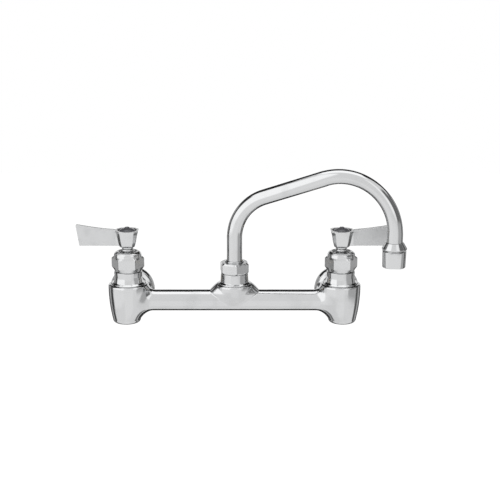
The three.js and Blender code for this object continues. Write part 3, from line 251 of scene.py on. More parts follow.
FLOOR_DROP = 1050 * mm
FLOOR_REACH = 6
FLOOR_TONE = 0.82
FLOOR_GLOW = 0.6  # lifts the floor to the backdrop's white in the picture
MIRRORED_GLOW = 0.38
floor_mesh = bpy.data.meshes.new("floor")
floor_mesh.from_pydata([(x * FLOOR_REACH, y * FLOOR_REACH, -FLOOR_DROP)
                        for x, y in ((-1, -1), (1, -1), (1, 1), (-1, 1))], [], [(0, 1, 2, 3)])
floor = placed("floor", floor_mesh)
floor_paint = bpy.data.materials.new("pale_floor")
floor_nodes = Nodes(floor_paint)
seen, mirrored, through = ray_kinds(floor_nodes)
matt = floor_nodes.add("ShaderNodeBsdfDiffuse", {}, {"Color": (*[FLOOR_TONE] * 3, 1)})
glow = floor_nodes.add("ShaderNodeEmission", {}, {
    "Strength": (seen + through) * FLOOR_GLOW + mirrored * MIRRORED_GLOW,
})
both = floor_nodes.add("ShaderNodeAddShader", {}, {0: matt.outputs[0], 1: glow.outputs[0]})
floor_nodes.add("ShaderNodeOutputMaterial", {}, {"Surface": both.outputs[0]})
floor.data.materials.append(floor_paint)

# ------------------------------------------------------------------ cast body
# One brass casting: two tapered barrels that hold the valves, a round bar between them, a boss for
# the spout and two necks to the wall. It is ground, polished and chrome plated all over.
BAR_RADIUS = 10.2 * mm
BAR_RISE = 0.25 * mm  # of the bar's middle over the necks' axis
RIM_HEIGHT = 17 * mm
RIM_ROUNDING = 1.5 * mm
BARREL_RADIUS = 19.2 * mm
FOOT_RADIUS = 13.4 * mm
FOOT_DEPTH = 21.5 * mm
FOOT_ROUNDING = 3.2 * mm
FOOT_OFFSET = 2.3 * mm  # of the foot outside the valve's axis
BOSS_RADIUS = 17.6 * mm
BOSS_TIP_RADIUS = 9 * mm
BOSS_DEPTH = 4 * mm  # the boss runs out this far below the bar's axis
TAPER_POWER = 2.2
NECK_RADIUS = 13.5 * mm
NECK_END = 38.4 * mm  # behind the bar's axis, inside the wall flange
UPPER_FILLET = 6.5 * mm  # between the barrels and the bar
LOWER_FILLET = 8.5 * mm
FILLET_CHANGE = 6 * mm
BOSS_FILLET = 8 * mm
BOSS_TIP_FILLET = 1 * mm
SHOULDER = 6.6 * mm  # legs of the slopes from the boss's rim to the bar's top
NECK_FILLET = 3 * mm
VALVE_X = (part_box("right_bonnet")[0].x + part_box("right_bonnet")[1].x) / 2
RECESS_DEPTH = 1.8 * mm
RECESSES = ((-VALVE_X, 16.3 * mm), (0, 15.9 * mm), (VALVE_X, 16.3 * mm))
CASTING_VOXEL = 0.9 * mm


def joined(a, b, fillet):
    """Two signed distances made one solid, with a fillet in the corner between them."""
    corner = np.hypot(np.maximum(fillet - a, 0), np.maximum(fillet - b, 0))
    return np.maximum(fillet, np.minimum(a, b)) - corner


def trimmed(a, b, rounding):
    """What two signed distances have in common, with a rounded edge."""
    corner = np.hypot(np.maximum(rounding + a, 0), np.maximum(rounding + b, 0))
    return np.minimum(-rounding, np.maximum(a, b)) + corner


def casting(points):
    """Signed distance from the casting's skin, at points about the bar's axis."""
    x, y, z = points.T
    plumb = RIM_HEIGHT - RIM_ROUNDING

    def taper(end):
        return np.clip((plumb - z) / (plumb - end), 0, 1) ** TAPER_POWER

    def between(low, high, lower, upper):
        share = np.clip((z - low) / (high - low), 0, 1)
        return lower + (upper - lower) * share * share * (3 - 2 * share)

    drop = taper(FOOT_ROUNDING - FOOT_DEPTH)
    off = np.hypot(np.abs(x) - VALVE_X - FOOT_OFFSET * drop, y)
    side = off - BARREL_RADIUS + (BARREL_RADIUS - FOOT_RADIUS) * drop
    barrels = trimmed(side, z - RIM_HEIGHT, RIM_ROUNDING)
    barrels = trimmed(barrels, -FOOT_DEPTH - z, FOOT_ROUNDING)
    boss = np.hypot(x, y) - BOSS_RADIUS + (BOSS_RADIUS - BOSS_TIP_RADIUS) * taper(-BOSS_DEPTH)
    boss = np.maximum(trimmed(boss, z - RIM_HEIGHT, RIM_ROUNDING), -BOSS_DEPTH - z)
    bar = np.maximum(np.hypot(y, z - BAR_RISE) - BAR_RADIUS, np.abs(x) - VALVE_X)
    neck = np.maximum(np.hypot(np.abs(x) - VALVE_X, z) - NECK_RADIUS, np.maximum(y - NECK_END, -y))
    middle = joined(bar, boss, between(-BOSS_DEPTH, BAR_RADIUS, BOSS_TIP_FILLET, BOSS_FILLET))
    shoulder = (bar + boss - between(0, BAR_RADIUS, 0, SHOULDER)) / math.sqrt(2)
    fillet = between(-FILLET_CHANGE, FILLET_CHANGE, LOWER_FILLET, UPPER_FILLET)
    return joined(joined(np.minimum(middle, shoulder), barrels, fillet), neck, NECK_FILLET)


def settle(points, edges, rounds):
    """Evens out a mesh and lays it on the casting's skin."""
    count = np.maximum(np.bincount(edges.ravel(), minlength=len(points)), 1)
    nudge = 0.02 * mm
    stride = 1 * mm  # the farthest that a point moves at once
    for _ in range(rounds):
        mean = np.zeros_like(points)
        np.add.at(mean, edges[:, 0], points[edges[:, 1]])
        np.add.at(mean, edges[:, 1], points[edges[:, 0]])
        points = 0.5 * points + 0.5 * mean / count[:, None]
        for _ in range(3):
            distance = casting(points)
            slope = np.stack([casting(points + nudge * axis) - distance for axis in np.eye(3)], 1)
            slope /= nudge
            steep = np.maximum((slope ** 2).sum(1), 0.25)
            points = points - slope * (np.clip(distance, -stride, stride) / steep)[:, None]
    return points


def arc_points(corners, step=0.3 * mm):
    """An outline of (radius, height, rounding) corners, each rounding as an arc of short steps."""
    points = []
    for i, (r, z, *rounding) in enumerate(corners):
        corner = Vector((r, z))
        if not rounding:
            points.append(corner)
            continue
        back = (Vector(corners[i - 1][:2]) - corner).normalized()
        ahead = (Vector(corners[(i + 1) % len(corners)][:2]) - corner).normalized()
        half = back.angle(ahead) / 2
        centre = corner + (back + ahead).normalized() * rounding[0] / math.sin(half)
        start = corner + back * rounding[0] / math.tan(half) - centre
        end = corner + ahead * rounding[0] / math.tan(half) - centre
        sweep = math.remainder(math.atan2(end.y, end.x) - math.atan2(start.y, start.x), 2 * math.pi)
        steps = max(3, math.ceil(abs(sweep) * rounding[0] / step))
        for k in range(steps + 1):
            turn = sweep * k / steps
            c, s = math.cos(turn), math.sin(turn)
            points.append(centre + Vector((start.x * c - start.y * s, start.x * s + start.y * c)))
    return points


EDGE_SHARPNESS = 44  # how closely a flat's edge keeps its corner


def turned(corners, centre, reach=None, along_y=False, sides=144):
    """An outline turned about an upright axis or Y; reach(angles, heights) caps the radius."""
    outline = np.array([tuple(p) for p in arc_points(corners)])
    angles = np.linspace(0, 2 * math.pi, sides, endpoint=False)
    radius = np.repeat(outline[:, :1], sides, 1)
    if reach is not None:
        share = radius / reach(angles[None, :], outline[:, 1:])
        radius = radius / (1 + share ** EDGE_SHARPNESS) ** (1 / EDGE_SHARPNESS)
    points = np.stack([radius * np.cos(angles), radius * np.sin(angles),
                       np.repeat(outline[:, 1:], sides, 1)], 2).reshape(-1, 3)
    if along_y:
        points = np.stack([points[:, 0], points[:, 2], -points[:, 1]], 1)
    points += np.array(centre)
    faces = []
    rows = len(outline)
    for j in range(rows):
        low, high = j * sides, (j + 1) % rows * sides
        for i in range(sides):
            following = (i + 1) % sides
            faces.append((low + i, low + following, high + following, high + i))
    return closed(points, faces)


def closed(points, faces):
    """A mesh with its doubles merged and its faces pointing out."""
    mesh = bpy.data.meshes.new("form")
    mesh.from_pydata([tuple(p) for p in points], [], faces)
    shape = bmesh.new()
    shape.from_mesh(mesh)
    bmesh.ops.remove_doubles(shape, verts=shape.verts, dist=0.002 * mm)
    bmesh.ops.dissolve_degenerate(shape, edges=shape.edges, dist=0.001 * mm)
    bmesh.ops.recalc_face_normals(shape, faces=shape.faces)
    shape.to_mesh(mesh)
    shape.free()
    return mesh


def made(holder):
    """The plain mesh that an object's modifiers make; the object itself goes."""
    graph = bpy.context.evaluated_depsgraph_get()
    result = bpy.data.meshes.new_from_object(holder.evaluated_get(graph))
    bpy.data.objects.remove(holder)
    return result


def finished(mesh, *modifiers):
    """The mesh that a chain of modifiers makes of it; each is its type and its settings."""
    blank = placed("blank", mesh)
    for kind, settings in modifiers:
        modifier = blank.modifiers.new(kind, kind)
        for name, value in settings.items():
            setattr(modifier, name, value)
    return made(blank)


def cut(mesh, tool, operation="DIFFERENCE"):
    """The mesh with another cut from it, or joined to it by UNION."""
    other = placed("tool", tool)
    settings = {"object": other, "operation": operation, "solver": "EXACT"}
    result = finished(mesh, ("BOOLEAN", settings))
    bpy.data.objects.remove(other)
    return result


def fit(name, mesh, finish, body, slot, *nodes, crease=32):
    """Puts a finished mesh on the body that carries it, in place of its CAD nodes."""
    mesh.materials.clear()
    mesh.materials.append(finish)
    mesh.shade_smooth()
    mesh.set_sharp_from_angle(angle=math.radians(crease))
    mesh = finished(mesh, ("WEIGHTED_NORMAL", {"keep_sharp": True, "weight": 50}))
    mesh.name = name
    piece = placed(name, mesh)
    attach(piece, body)
    if nodes:
        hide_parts(*nodes)
    return piece


def new_finish(name):
    """A new material, its nodes, and the place on the piece."""
    material = bpy.data.materials.new(name)
    nodes = Nodes(material)
    return material, nodes, nodes.add("ShaderNodeTexCoord").outputs["Object"]


def noise(nodes, place, scale, detail):
    sockets = {"Vector": place, "Scale": scale, "Detail": detail}
    return nodes.out("ShaderNodeTexNoise", "Fac", {}, sockets)


def mixed(nodes, factor, first, second):
    """A colour between two others, each a tone of three numbers or a socket."""
    first, second = ((*c, 1) if isinstance(c, tuple) else c for c in (first, second))
    sockets = {"Factor_Float": factor, "A_Color": first, "B_Color": second}
    return nodes.out("ShaderNodeMix", "Result_Color", {"data_type": "RGBA"}, sockets)


def surface(nodes, metallic, colour, roughness, strength, depth, height):
    """Ends a material's nodes in a shader, with a relief of this strength, depth and height."""
    sockets = {"Strength": strength, "Distance": depth * mm, "Height": height}
    shader = nodes.add("ShaderNodeBsdfPrincipled", {}, {
        "Metallic": metallic,
        "Base Color": colour,
        "Roughness": roughness,
        "Normal": nodes.add("ShaderNodeBump", {}, sockets).outputs[0],
    })
    nodes.add("ShaderNodeOutputMaterial", {}, {"Surface": shader.outputs[0]})


def plated(name, tone, gloss, wave, smudge, satin=None):
    """Chrome plate: grey mirror metal, slightly wavy, with smudges, water spots, scratches and a
    painted highlight on convex edges.
    satin(nodes, place) gives more roughness where the piece is only brushed."""
    material, nodes, place = new_finish(name)
    cloud = noise(nodes, place, scale=60, detail=3)
    broad = noise(nodes, place, scale=110, detail=0)
    drawn_out = nodes.add("ShaderNodeMapping", {}, {"Vector": place, "Scale": (1, 1, 14)})
    scratch = noise(nodes, drawn_out.outputs[0], scale=420, detail=2)
    drops = nodes.out("ShaderNodeTexVoronoi", "Distance", {}, {"Vector": place, "Scale": 170})
    pointed = Value(nodes, nodes.add("ShaderNodeNewGeometry").outputs["Pointiness"])
    wiped = cloud.step(0.46, 0.66)
    spots = (1 - drops.step(0.10, 0.16)) * cloud.step(0.5, 0.58)
    # painted highlight: convex edges, found by pointiness, get a colour brighter than the plate
    # itself
    edges = pointed.step(0.53, 0.62)
    dull = tuple(c * 0.9 for c in tone)
    bright = tuple(min(1, c * 1.07) for c in tone)
    film = mixed(nodes, wiped * 0.6 + spots * 0.4, tone, dull)
    roughness = wiped * smudge + spots * 0.12 + scratch * 0.03 + gloss
    if satin:
        roughness = roughness + satin(nodes, place)
    relief = broad + scratch * 0.06 + spots * 0.05
    surface(nodes, 1, mixed(nodes, edges * 0.8, film, bright), roughness, 0.35, wave, relief)
    return material


CHROME = (0.61, 0.615, 0.62)
cast_chrome = plated("polished_chrome_cast", CHROME, 0.10, 0.30, 0.06)
turned_chrome = plated("polished_chrome_turned", CHROME, 0.09, 0.12, 0.05)
nut_chrome = plated("polished_chrome_nut", CHROME, 0.16, 0.12, 0.05)

ROUGH_NARROWING = 0.85
rough_form = bmesh.new()


def rough_cone(low_radius, high_radius, length, place, sides=64):
    bmesh.ops.create_cone(rough_form, cap_ends=True, segments=sides, radius1=low_radius,
                          radius2=high_radius, depth=length, matrix=place)


for x, radius, low, high in (
        (-VALVE_X, BARREL_RADIUS, -FOOT_DEPTH, RIM_HEIGHT),
        (0, BOSS_RADIUS, 0, RIM_HEIGHT),
        (VALVE_X, BARREL_RADIUS, -FOOT_DEPTH, RIM_HEIGHT)):
    rough_cone(radius * ROUGH_NARROWING, radius, high - low,
               Matrix.Translation((x, 0, (low + high) / 2)))
rough_cone(BAR_RADIUS, BAR_RADIUS, 2 * VALVE_X, Matrix.Rotation(math.pi / 2, 4, "Y"), sides=48)
for x in (-VALVE_X, VALVE_X):
    rough_cone(NECK_RADIUS, NECK_RADIUS, NECK_END,
               Matrix.Translation((x, NECK_END / 2, 0)) @ Matrix.Rotation(math.pi / 2, 4, "X"))
rough_mesh = bpy.data.meshes.new("rough_casting")
rough_form.to_mesh(rough_mesh)
rough_form.free()
casting_mesh = finished(rough_mesh, ("REMESH", {"mode": "VOXEL", "voxel_size": CASTING_VOXEL}))
casting_points = np.empty(len(casting_mesh.vertices) * 3)
casting_mesh.vertices.foreach_get("co", casting_points)
casting_edges = np.empty(len(casting_mesh.edges) * 2, int)
casting_mesh.edges.foreach_get("vertices", casting_edges)
SETTLING_ROUNDS = 12
casting_points = settle(casting_points.reshape(-1, 3), casting_edges.reshape(-1, 2),
                        SETTLING_ROUNDS)
casting_mesh.vertices.foreach_set("co", (casting_points + np.array(AIM)).ravel())
casting_mesh.update()
RECESS_CHAMFER = 0.35 * mm
recess_floor = RIM_HEIGHT - RECESS_DEPTH
for x, radius in RECESSES:
    recess = turned([
        (0, recess_floor), (radius, recess_floor), (radius, RIM_HEIGHT - RECESS_CHAMFER),
        (radius + 2 * RECESS_CHAMFER, RIM_HEIGHT + RECESS_CHAMFER),
        (0, RIM_HEIGHT + RECESS_CHAMFER),
    ], AIM + Vector((x, 0, 0)))
    casting_mesh = cut(casting_mesh, recess)
fit("body_casting", casting_mesh, cast_chrome, "body", "polished_chrome", "valve_body", crease=50)

# ------------------------------------------------------------------ wall inlets
# On each side a brass shank screws into the body's neck and passes through the wall. A bevelled
# chrome flange with a rubber gasket covers the hole, and a washer and a hexagon locknut clamp it.
THREAD_PITCH = 1.814 * mm  # 14 threads to the inch
THREAD_DEPTH = 0.75 * mm
THREAD_BAR = 0.68 * mm  # radius of the bar that makes the thread's crest
THREAD_STEPS = 36  # points to a turn
THREAD_FADE = 0.35 * mm  # how far the crest sinks at its ends
THREAD_START = 1 * mm
THREAD_STOP = 1.4 * mm
PLAY = 0.3 * mm  # between a ring's bore and what goes through it
SHANK_BORE = 7.6 * mm
FLANGE_HUB_RADIUS = 16.6 * mm
FLANGE_HUB_LENGTH = 8 * mm
FLANGE_TRIM = 0.7 * mm  # of the plate's edge
DOME_RADIUS = 20.2 * mm
DOME_DROP = 1.8 * mm
EDGE_DROP = 5.4 * mm
GASKET_RADIUS = 19.6 * mm
GASKET_POCKET = 1.8 * mm
WEB_BACK = 5.7 * mm  # of the flange's web, from the wall
WASHER_RADIUS = 17 * mm
NUT_CHAMFER = 1.4 * mm


def ring(inner, outer, low, high, rounding):
    """The outline of a ring with rounded edges."""
    corners = (inner, low), (outer, low), (outer, high), (inner, high)
    return [(*corner, rounding) for corner in corners]


CORNER_WEAR = 90  # a higher power keeps a hexagon's corners sharper


def hexagon(across_flats, turn=0.0):
    """How far a hexagon with worn corners reaches at each angle; a flat faces -Y if turn is 0."""
    def reach(angles, heights):
        total = 0
        for k in range(6):
            facing = np.maximum(np.cos(angles - math.pi / 6 - turn - k * math.pi / 3), 0)
            total = total + facing ** CORNER_WEAR
        return across_flats / 2 / total ** (1 / CORNER_WEAR) + 0 * heights
    return reach


def brass_finish(name, tone, roughness):
    """Turned brass or steel: fine tool rings, a dull film, darker stains and a painted highlight on
    convex edges.
    """
    material, nodes, place = new_finish(name)
    stain = noise(nodes, place, scale=90, detail=5)
    grain = noise(nodes, place, scale=1500, detail=2)
    pointed = Value(nodes, nodes.add("ShaderNodeNewGeometry").outputs["Pointiness"])
    dark = tuple(c * 0.55 for c in tone)
    bright = tuple(min(1, c * 1.2) for c in tone)
    film = mixed(nodes, stain.step(0.42, 0.75) * 0.7, tone, dark)
    # painted highlight: convex edges, found by pointiness, get a colour brighter than the bare
    # metal
    colour = mixed(nodes, pointed.step(0.52, 0.6), film, bright)
    surface(nodes, 1, colour, stain * 0.2 + grain * 0.06 + roughness, 0.3, 0.05, grain)
    return material


def soft_finish(name, tone, roughness, grain_scale, grain_depth):
    """Rubber, fibre or moulded plastic: an even matt tone with fine grain and a little dust."""
    material, nodes, place = new_finish(name)
    dust = noise(nodes, place, scale=120, detail=4)
    grain = noise(nodes, place, scale=grain_scale, detail=3)
    pale = tuple(c + (0.5 - c) * 0.25 for c in tone)
    colour = mixed(nodes, dust.step(0.5, 0.8) * 0.6, tone, pale)
    surface(nodes, 0, colour, dust * 0.15 + roughness, 0.5, grain_depth, grain)
    return material


BRASS = (0.72, 0.58, 0.32)
STEEL = (0.62, 0.62, 0.63)
bare_brass = brass_finish("bare_brass", BRASS, 0.22)
stainless = brass_finish("stainless_steel", STEEL, 0.25)
rubber = soft_finish("rubber", (0.03, 0.03, 0.032), 0.55, 900, 0.08)
fibre = soft_finish("fibre", (0.10, 0.10, 0.105), 0.7, 2200, 0.12)
nylon = soft_finish("nylon", (0.80, 0.79, 0.75), 0.4, 1600, 0.03)


def geometry_tree(name, sizes):
    """A Geometry Nodes tree that takes a geometry and named sizes, and those inputs."""
    tree = bpy.data.node_groups.new(name, "GeometryNodeTree")
    tree.interface.new_socket(name="Geometry", in_out="INPUT", socket_type="NodeSocketGeometry")
    for size in sizes:
        tree.interface.new_socket(name=size, in_out="INPUT", socket_type="NodeSocketFloat")
    tree.interface.new_socket(name="Geometry", in_out="OUTPUT", socket_type="NodeSocketGeometry")
    nodes = Nodes(tree)
    return nodes, nodes.add("NodeGroupInput").outputs


def grown(nodes, form, finish):
    """Ends a Geometry Nodes tree in this form with its finish."""
    real = nodes.add("GeometryNodeRealizeInstances", {}, {0: form})
    sockets = {"Geometry": real.outputs[0], "Material": finish}
    paint = nodes.add("GeometryNodeSetMaterial", {}, sockets)
    nodes.add("NodeGroupOutput", {}, {0: paint.outputs[0]})
    return nodes.tree


def grow(source, tree, sizes):
    """The mesh that a Geometry Nodes tree makes of a source mesh, with the sizes set by name."""
    holder = placed("holder", source)
    modifier = holder.modifiers.new("grow", "NODES")
    modifier.node_group = tree
    for item in tree.interface.items_tree:
        if item.in_out == "INPUT" and item.name in sizes:
            modifier[item.identifier] = sizes[item.name]
    holder.update_tag()
    return made(holder)


def sweep_tree(name, finish, profile_sides):
    """A tree that draws a round bar of a given radius along the edges of its source."""
    nodes, inputs = geometry_tree(name, ["Radius"])
    line = nodes.add("GeometryNodeMeshToCurve", {}, {0: inputs["Geometry"]})
    circle = nodes.add("GeometryNodeCurvePrimitiveCircle", {}, {
        "Resolution": profile_sides,
        "Radius": inputs["Radius"],
    })
    skin = nodes.add("GeometryNodeCurveToMesh", {}, {
        "Curve": line.outputs[0],
        "Profile Curve": circle.outputs["Curve"],
        "Fill Caps": True,
    })
    return grown(nodes, skin.outputs[0], finish)


def polyline(points):
    """A mesh of edges through the points."""
    mesh = bpy.data.meshes.new("line")
    mesh.from_pydata([tuple(p) for p in points], [(i, i + 1) for i in range(len(points) - 1)], [])
    return mesh


def together(*meshes):
    """Several closed meshes as one."""
    shape = bmesh.new()
    for mesh in meshes:
        shape.from_mesh(mesh)
    bmesh.ops.recalc_face_normals(shape, faces=shape.faces)
    result = bpy.data.meshes.new("group")
    shape.to_mesh(result)
    shape.free()
    return result


thread_tree = sweep_tree("thread", bare_brass, 4)
SIDES = (("left", -VALVE_X), ("right", VALVE_X))
for side, x in SIDES:
    axis = Vector((x, 0, 0))
    flange_low, flange_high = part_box(f"{side}_wall_flange")
    shank_low, shank_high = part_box(f"{side}_inlet_shank")
    nut_low, nut_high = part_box(f"{side}_locknut")
    washer_low, washer_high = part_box(f"{side}_back_washer")
    gasket_low, gasket_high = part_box(f"{side}_wall_gasket")
    flange_radius = (flange_high.x - flange_low.x) / 2 - FLANGE_TRIM
    shank_radius = (shank_high.x - shank_low.x) / 2
    bore = shank_radius + PLAY
    hub_front, wall = flange_low.y, flange_high.y
    plate_front = hub_front + FLANGE_HUB_LENGTH
    flange = turned([
        (NECK_RADIUS + PLAY, hub_front, 0.3 * mm),
        (FLANGE_HUB_RADIUS, hub_front, 0.9 * mm),
        (FLANGE_HUB_RADIUS, plate_front, 0.4 * mm),
        (DOME_RADIUS, plate_front + DOME_DROP, 4 * mm),
        (flange_radius, plate_front + EDGE_DROP, 1 * mm),
        (flange_radius, wall, 0.3 * mm),
        (GASKET_RADIUS + PLAY, wall, 0.3 * mm),
        (GASKET_RADIUS + PLAY, wall - GASKET_POCKET),
        (bore, wall - GASKET_POCKET),
        (bore, wall - WEB_BACK),
        (NECK_RADIUS + PLAY, wall - WEB_BACK),
    ], axis, along_y=True)
    fit(f"{side}_flange_plate", flange, turned_chrome, "body", "polished_chrome",
        f"{side}_wall_flange")
    gasket = turned(ring(bore, GASKET_RADIUS, gasket_low.y, gasket_high.y, 0.35 * mm),
                    axis, along_y=True)
    fit(f"{side}_flange_gasket", gasket, rubber, "body", "rubber", f"{side}_wall_gasket")
    root = shank_radius - THREAD_DEPTH
    core = turned([
        (SHANK_BORE, shank_low.y, 0.3 * mm), (root, shank_low.y, 0.5 * mm),
        (root, shank_high.y, 0.6 * mm), (SHANK_BORE, shank_high.y, 0.4 * mm),
    ], axis, along_y=True)
    crest = shank_radius - THREAD_DEPTH * 0.95
    turns = (shank_high.y - THREAD_STOP - (shank_low.y + THREAD_START)) / THREAD_PITCH
    helix = []
    for i in range(int(turns * THREAD_STEPS) + 1):
        turn = i / THREAD_STEPS
        angle = 2 * math.pi * turn
        r = crest - THREAD_FADE * (1 - min(1, 2 * turn, 2 * (turns - turn)))
        along = shank_low.y + THREAD_START + THREAD_PITCH * turn
        helix.append((x + r * math.cos(angle), along, r * math.sin(angle)))
    thread = grow(polyline(helix), thread_tree, {"Radius": THREAD_BAR})
    fit(f"{side}_threaded_shank", together(core, thread), bare_brass, "body", "bare_brass",
        f"{side}_inlet_shank", crease=40)
    washer = turned(ring(bore, WASHER_RADIUS, washer_low.y, washer_high.y, 0.4 * mm),
                    axis, along_y=True)
    fit(f"{side}_clamp_washer", washer, stainless, "body", "stainless_steel", f"{side}_back_washer")
    flats = nut_high.z - nut_low.z
    corner = flats / math.sqrt(3)
    locknut = turned([
        (bore, nut_low.y, 0.4 * mm),
        (corner - 1.9 * mm, nut_low.y),
        (corner + 0.6 * mm, nut_low.y + NUT_CHAMFER),
        (corner + 0.6 * mm, nut_high.y - NUT_CHAMFER),
        (corner - 1.9 * mm, nut_high.y),
        (bore, nut_high.y, 0.4 * mm),
    ], axis, reach=hexagon(flats), along_y=True, sides=240)
    fit(f"{side}_hex_locknut", locknut, bare_brass, "body", "bare_brass", f"{side}_locknut")

# ------------------------------------------------------------------ valves
# In each barrel a steel seat is screwed in under a rubber washer, held by a small screw in a brass
# holder. The bonnet, a chrome sleeve, screws down on a fibre gasket and carries the stem's thread.
hidden = {
    "valve_seat": stainless, "seat_washer": rubber,
    "washer_screw": bare_brass, "washer_holder": bare_brass,
    "bonnet_gasket": fibre, "packing": fibre, "gland": bare_brass, "handle_screw": stainless,
}
FLANGE_SEAT = 1.4 * mm  # over the recess's floor: the gasket and the gaps beside it
SLEEVE_HEIGHT = 12.8 * mm
SLEEVE_RADIUS = 13.4 * mm
SLEEVE_WAIST = 13.1 * mm
BODY_THREAD = 10.7 * mm
NUT_THREAD = 11 * mm
STEM_THREAD = 7.3 * mm
WASHER_ROOM = (8.3 * mm, 10 * mm)  # radius and height
PACKING_ROOM = (8.4 * mm, 13.1 * mm)


def coat(node_name, finish):
    """Gives a hidden solid its finish."""
    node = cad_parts[node_name]
    node.data.materials.clear()
    node.data.materials.append(finish)


def middle_line(low, high):
    """The foot of a box's upright middle line."""
    return Vector(((low.x + high.x) / 2, (low.y + high.y) / 2, 0))


for side in ("left", "right"):
    for part, finish in hidden.items():
        coat(f"{side}_{part}", finish)
    low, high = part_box(f"{side}_bonnet")
    flange_radius = (high.x - low.x) / 2
    seat = RIM_HEIGHT - RECESS_DEPTH + FLANGE_SEAT
    sleeve_top = seat + SLEEVE_HEIGHT
    sleeve = turned([
        (WASHER_ROOM[0], low.z), (BODY_THREAD, low.z, 0.3 * mm), (BODY_THREAD, seat),
        (flange_radius, seat, 0.2 * mm), (flange_radius, seat + 1 * mm, 0.4 * mm),
        (14 * mm, seat + 2.4 * mm, 1 * mm), (SLEEVE_WAIST, seat + 7.2 * mm, 12 * mm),
        (SLEEVE_RADIUS, sleeve_top, 0.5 * mm), (NUT_THREAD, sleeve_top), (NUT_THREAD, high.z),
        (PACKING_ROOM[0], high.z), (PACKING_ROOM[0], high.z - PACKING_ROOM[1]),
        (STEM_THREAD, high.z - PACKING_ROOM[1]), (STEM_THREAD, low.z + WASHER_ROOM[1]),
        (WASHER_ROOM[0], low.z + WASHER_ROOM[1]),
    ], middle_line(low, high))
    fit(f"{side}_bonnet_sleeve", sleeve, turned_chrome, "body", "polished_chrome", f"{side}_bonnet")

# ------------------------------------------------------------------ packing nuts
# A big hexagon nut, turned to a dome on top, presses the packing on the stem. One flat faces the
# front, its lower corners are chamfered, and the stem comes out of a shallow eye.
NUT_MOUTH = 11.3 * mm  # radius of the threaded mouth
STEM_HOLE = 5.2 * mm
EYE_DEPTH = 2 * mm
NUT_ROOF = 8.1 * mm  # from the top down to the thread
for side in ("left", "right"):
    low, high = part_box(f"{side}_packing_nut")
    flats = high.y - low.y
    corner = flats / math.sqrt(3)
    nut = turned([
        (NUT_MOUTH, low.z, 0.3 * mm),
        (corner - 3 * mm, low.z, 0.2 * mm),
        (corner + 0.8 * mm, low.z + 3.8 * mm, 0.6 * mm),
        (corner + 0.8 * mm, high.z - 6.6 * mm, 0.6 * mm),
        (corner - 2.4 * mm, high.z - 4.6 * mm, 0.5 * mm),
        (12.9 * mm, high.z, 3.5 * mm),
        (8.75 * mm, high.z, 0.35 * mm),
        (8.2 * mm, high.z - EYE_DEPTH, 0.3 * mm),
        (STEM_HOLE, high.z - EYE_DEPTH),
        (STEM_HOLE, high.z - NUT_ROOF),
        (NUT_MOUTH, high.z - NUT_ROOF),
    ], middle_line(low, high), reach=hexagon(flats), sides=288)
    fit(f"{side}_hex_nut", nut, nut_chrome, "body", "polished_chrome", f"{side}_packing_nut")

# ------------------------------------------------------------------ stems
# The brass stem comes out of the nut with a plated collar and ends in a toothed spline, on which
# the handle sits.
SPLINE_TEETH = 8
SPLINE_RADIUS = 4.2 * mm
TOOTH_DEPTH = 0.5 * mm
SPINDLE_FOOT = (4 * mm, 5.2 * mm)  # radius and height
SPINDLE_THREAD = (7 * mm, 13.2 * mm)
SPINDLE_RADIUS = 4.8 * mm
COLLAR_RADIUS = 5.75 * mm
COLLAR_HEIGHT = 2.2 * mm
SCREW_HOLE = (2.2 * mm, 9 * mm)
plated_stem = plated("plated_stem", (0.60, 0.605, 0.61), 0.16, 0.08, 0.08)
for side in ("left", "right"):
    low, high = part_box(f"{side}_stem")
    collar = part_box(f"{side}_lever_handle")[0].z - 0.3 * mm

    def toothed(angles, heights):
        teeth = SPLINE_RADIUS - TOOTH_DEPTH * (0.5 - 0.5 * np.cos(SPLINE_TEETH * angles)) ** 2
        return np.where(heights > collar + 0.01 * mm, teeth, 20 * mm)

    spindle = turned([
        (0, low.z), (SPINDLE_FOOT[0], low.z, 0.3 * mm), (SPINDLE_FOOT[0], low.z + SPINDLE_FOOT[1]),
        (SPINDLE_THREAD[0], low.z + SPINDLE_FOOT[1], 0.4 * mm),
        (SPINDLE_THREAD[0], low.z + SPINDLE_THREAD[1], 0.4 * mm),
        (SPINDLE_RADIUS, low.z + SPINDLE_THREAD[1]), (SPINDLE_RADIUS, collar - COLLAR_HEIGHT),
        (COLLAR_RADIUS, collar - COLLAR_HEIGHT, 0.35 * mm), (COLLAR_RADIUS, collar, 0.35 * mm),
        (4.3 * mm, collar + 0.02 * mm), (4.3 * mm, high.z, 0.3 * mm), (SCREW_HOLE[0], high.z),
        (SCREW_HOLE[0], high.z - SCREW_HOLE[1]), (0, high.z - SCREW_HOLE[1]),
    ], middle_line(low, high), reach=toothed)
    fit(f"{side}_spindle", spindle, plated_stem, f"{side}_handle", "plated_stem", f"{side}_stem")

# ------------------------------------------------------------------ lever handles
# A cast and plated lever: an eight-sided hub that flares to an open lip, with an upright blade that
# widens to a slanted tip. A screw under the index button holds it on the spline.
HUB_FOOT_WIDTH = 13.3 * mm
HUB_LIP_WIDTH = 21.3 * mm
HUB_HEIGHT = 17.9 * mm
HUB_FLOOR = 13.2 * mm  # height of the floor in the hub's mouth
HUB_CLEAR = 15 * mm  # wider than the hub: the flare sets its sides
NECK_HEIGHT = 2.2 * mm
NECK_WAIST = 5.25 * mm
LIP_EDGE = 0.8 * mm
LIP_SHARE = 0.2  # of the flare, taken up by the lip
CORNER_SHARE = 0.63
BLADE_THICKNESS = 3 * mm
BLADE_ROUNDING = 0.7 * mm
BLADE_FOOT = 2.8 * mm
BLADE_ROOT = 18.5 * mm  # height of the blade's top edge at the hub
BLADE_SAG = 0.55 * mm  # of that edge, halfway to the tip
BRUSHED_GLOSS = 0.4  # added to the roughness of the blade


def brushed_blade(nodes, place):
    """More roughness from the hub's side outwards."""
    across = nodes.out("ShaderNodeSeparateXYZ", "X", {}, {0: place})
    return across.math("ABSOLUTE").step(VALVE_X + 9.5 * mm, VALVE_X + 12 * mm) * BRUSHED_GLOSS


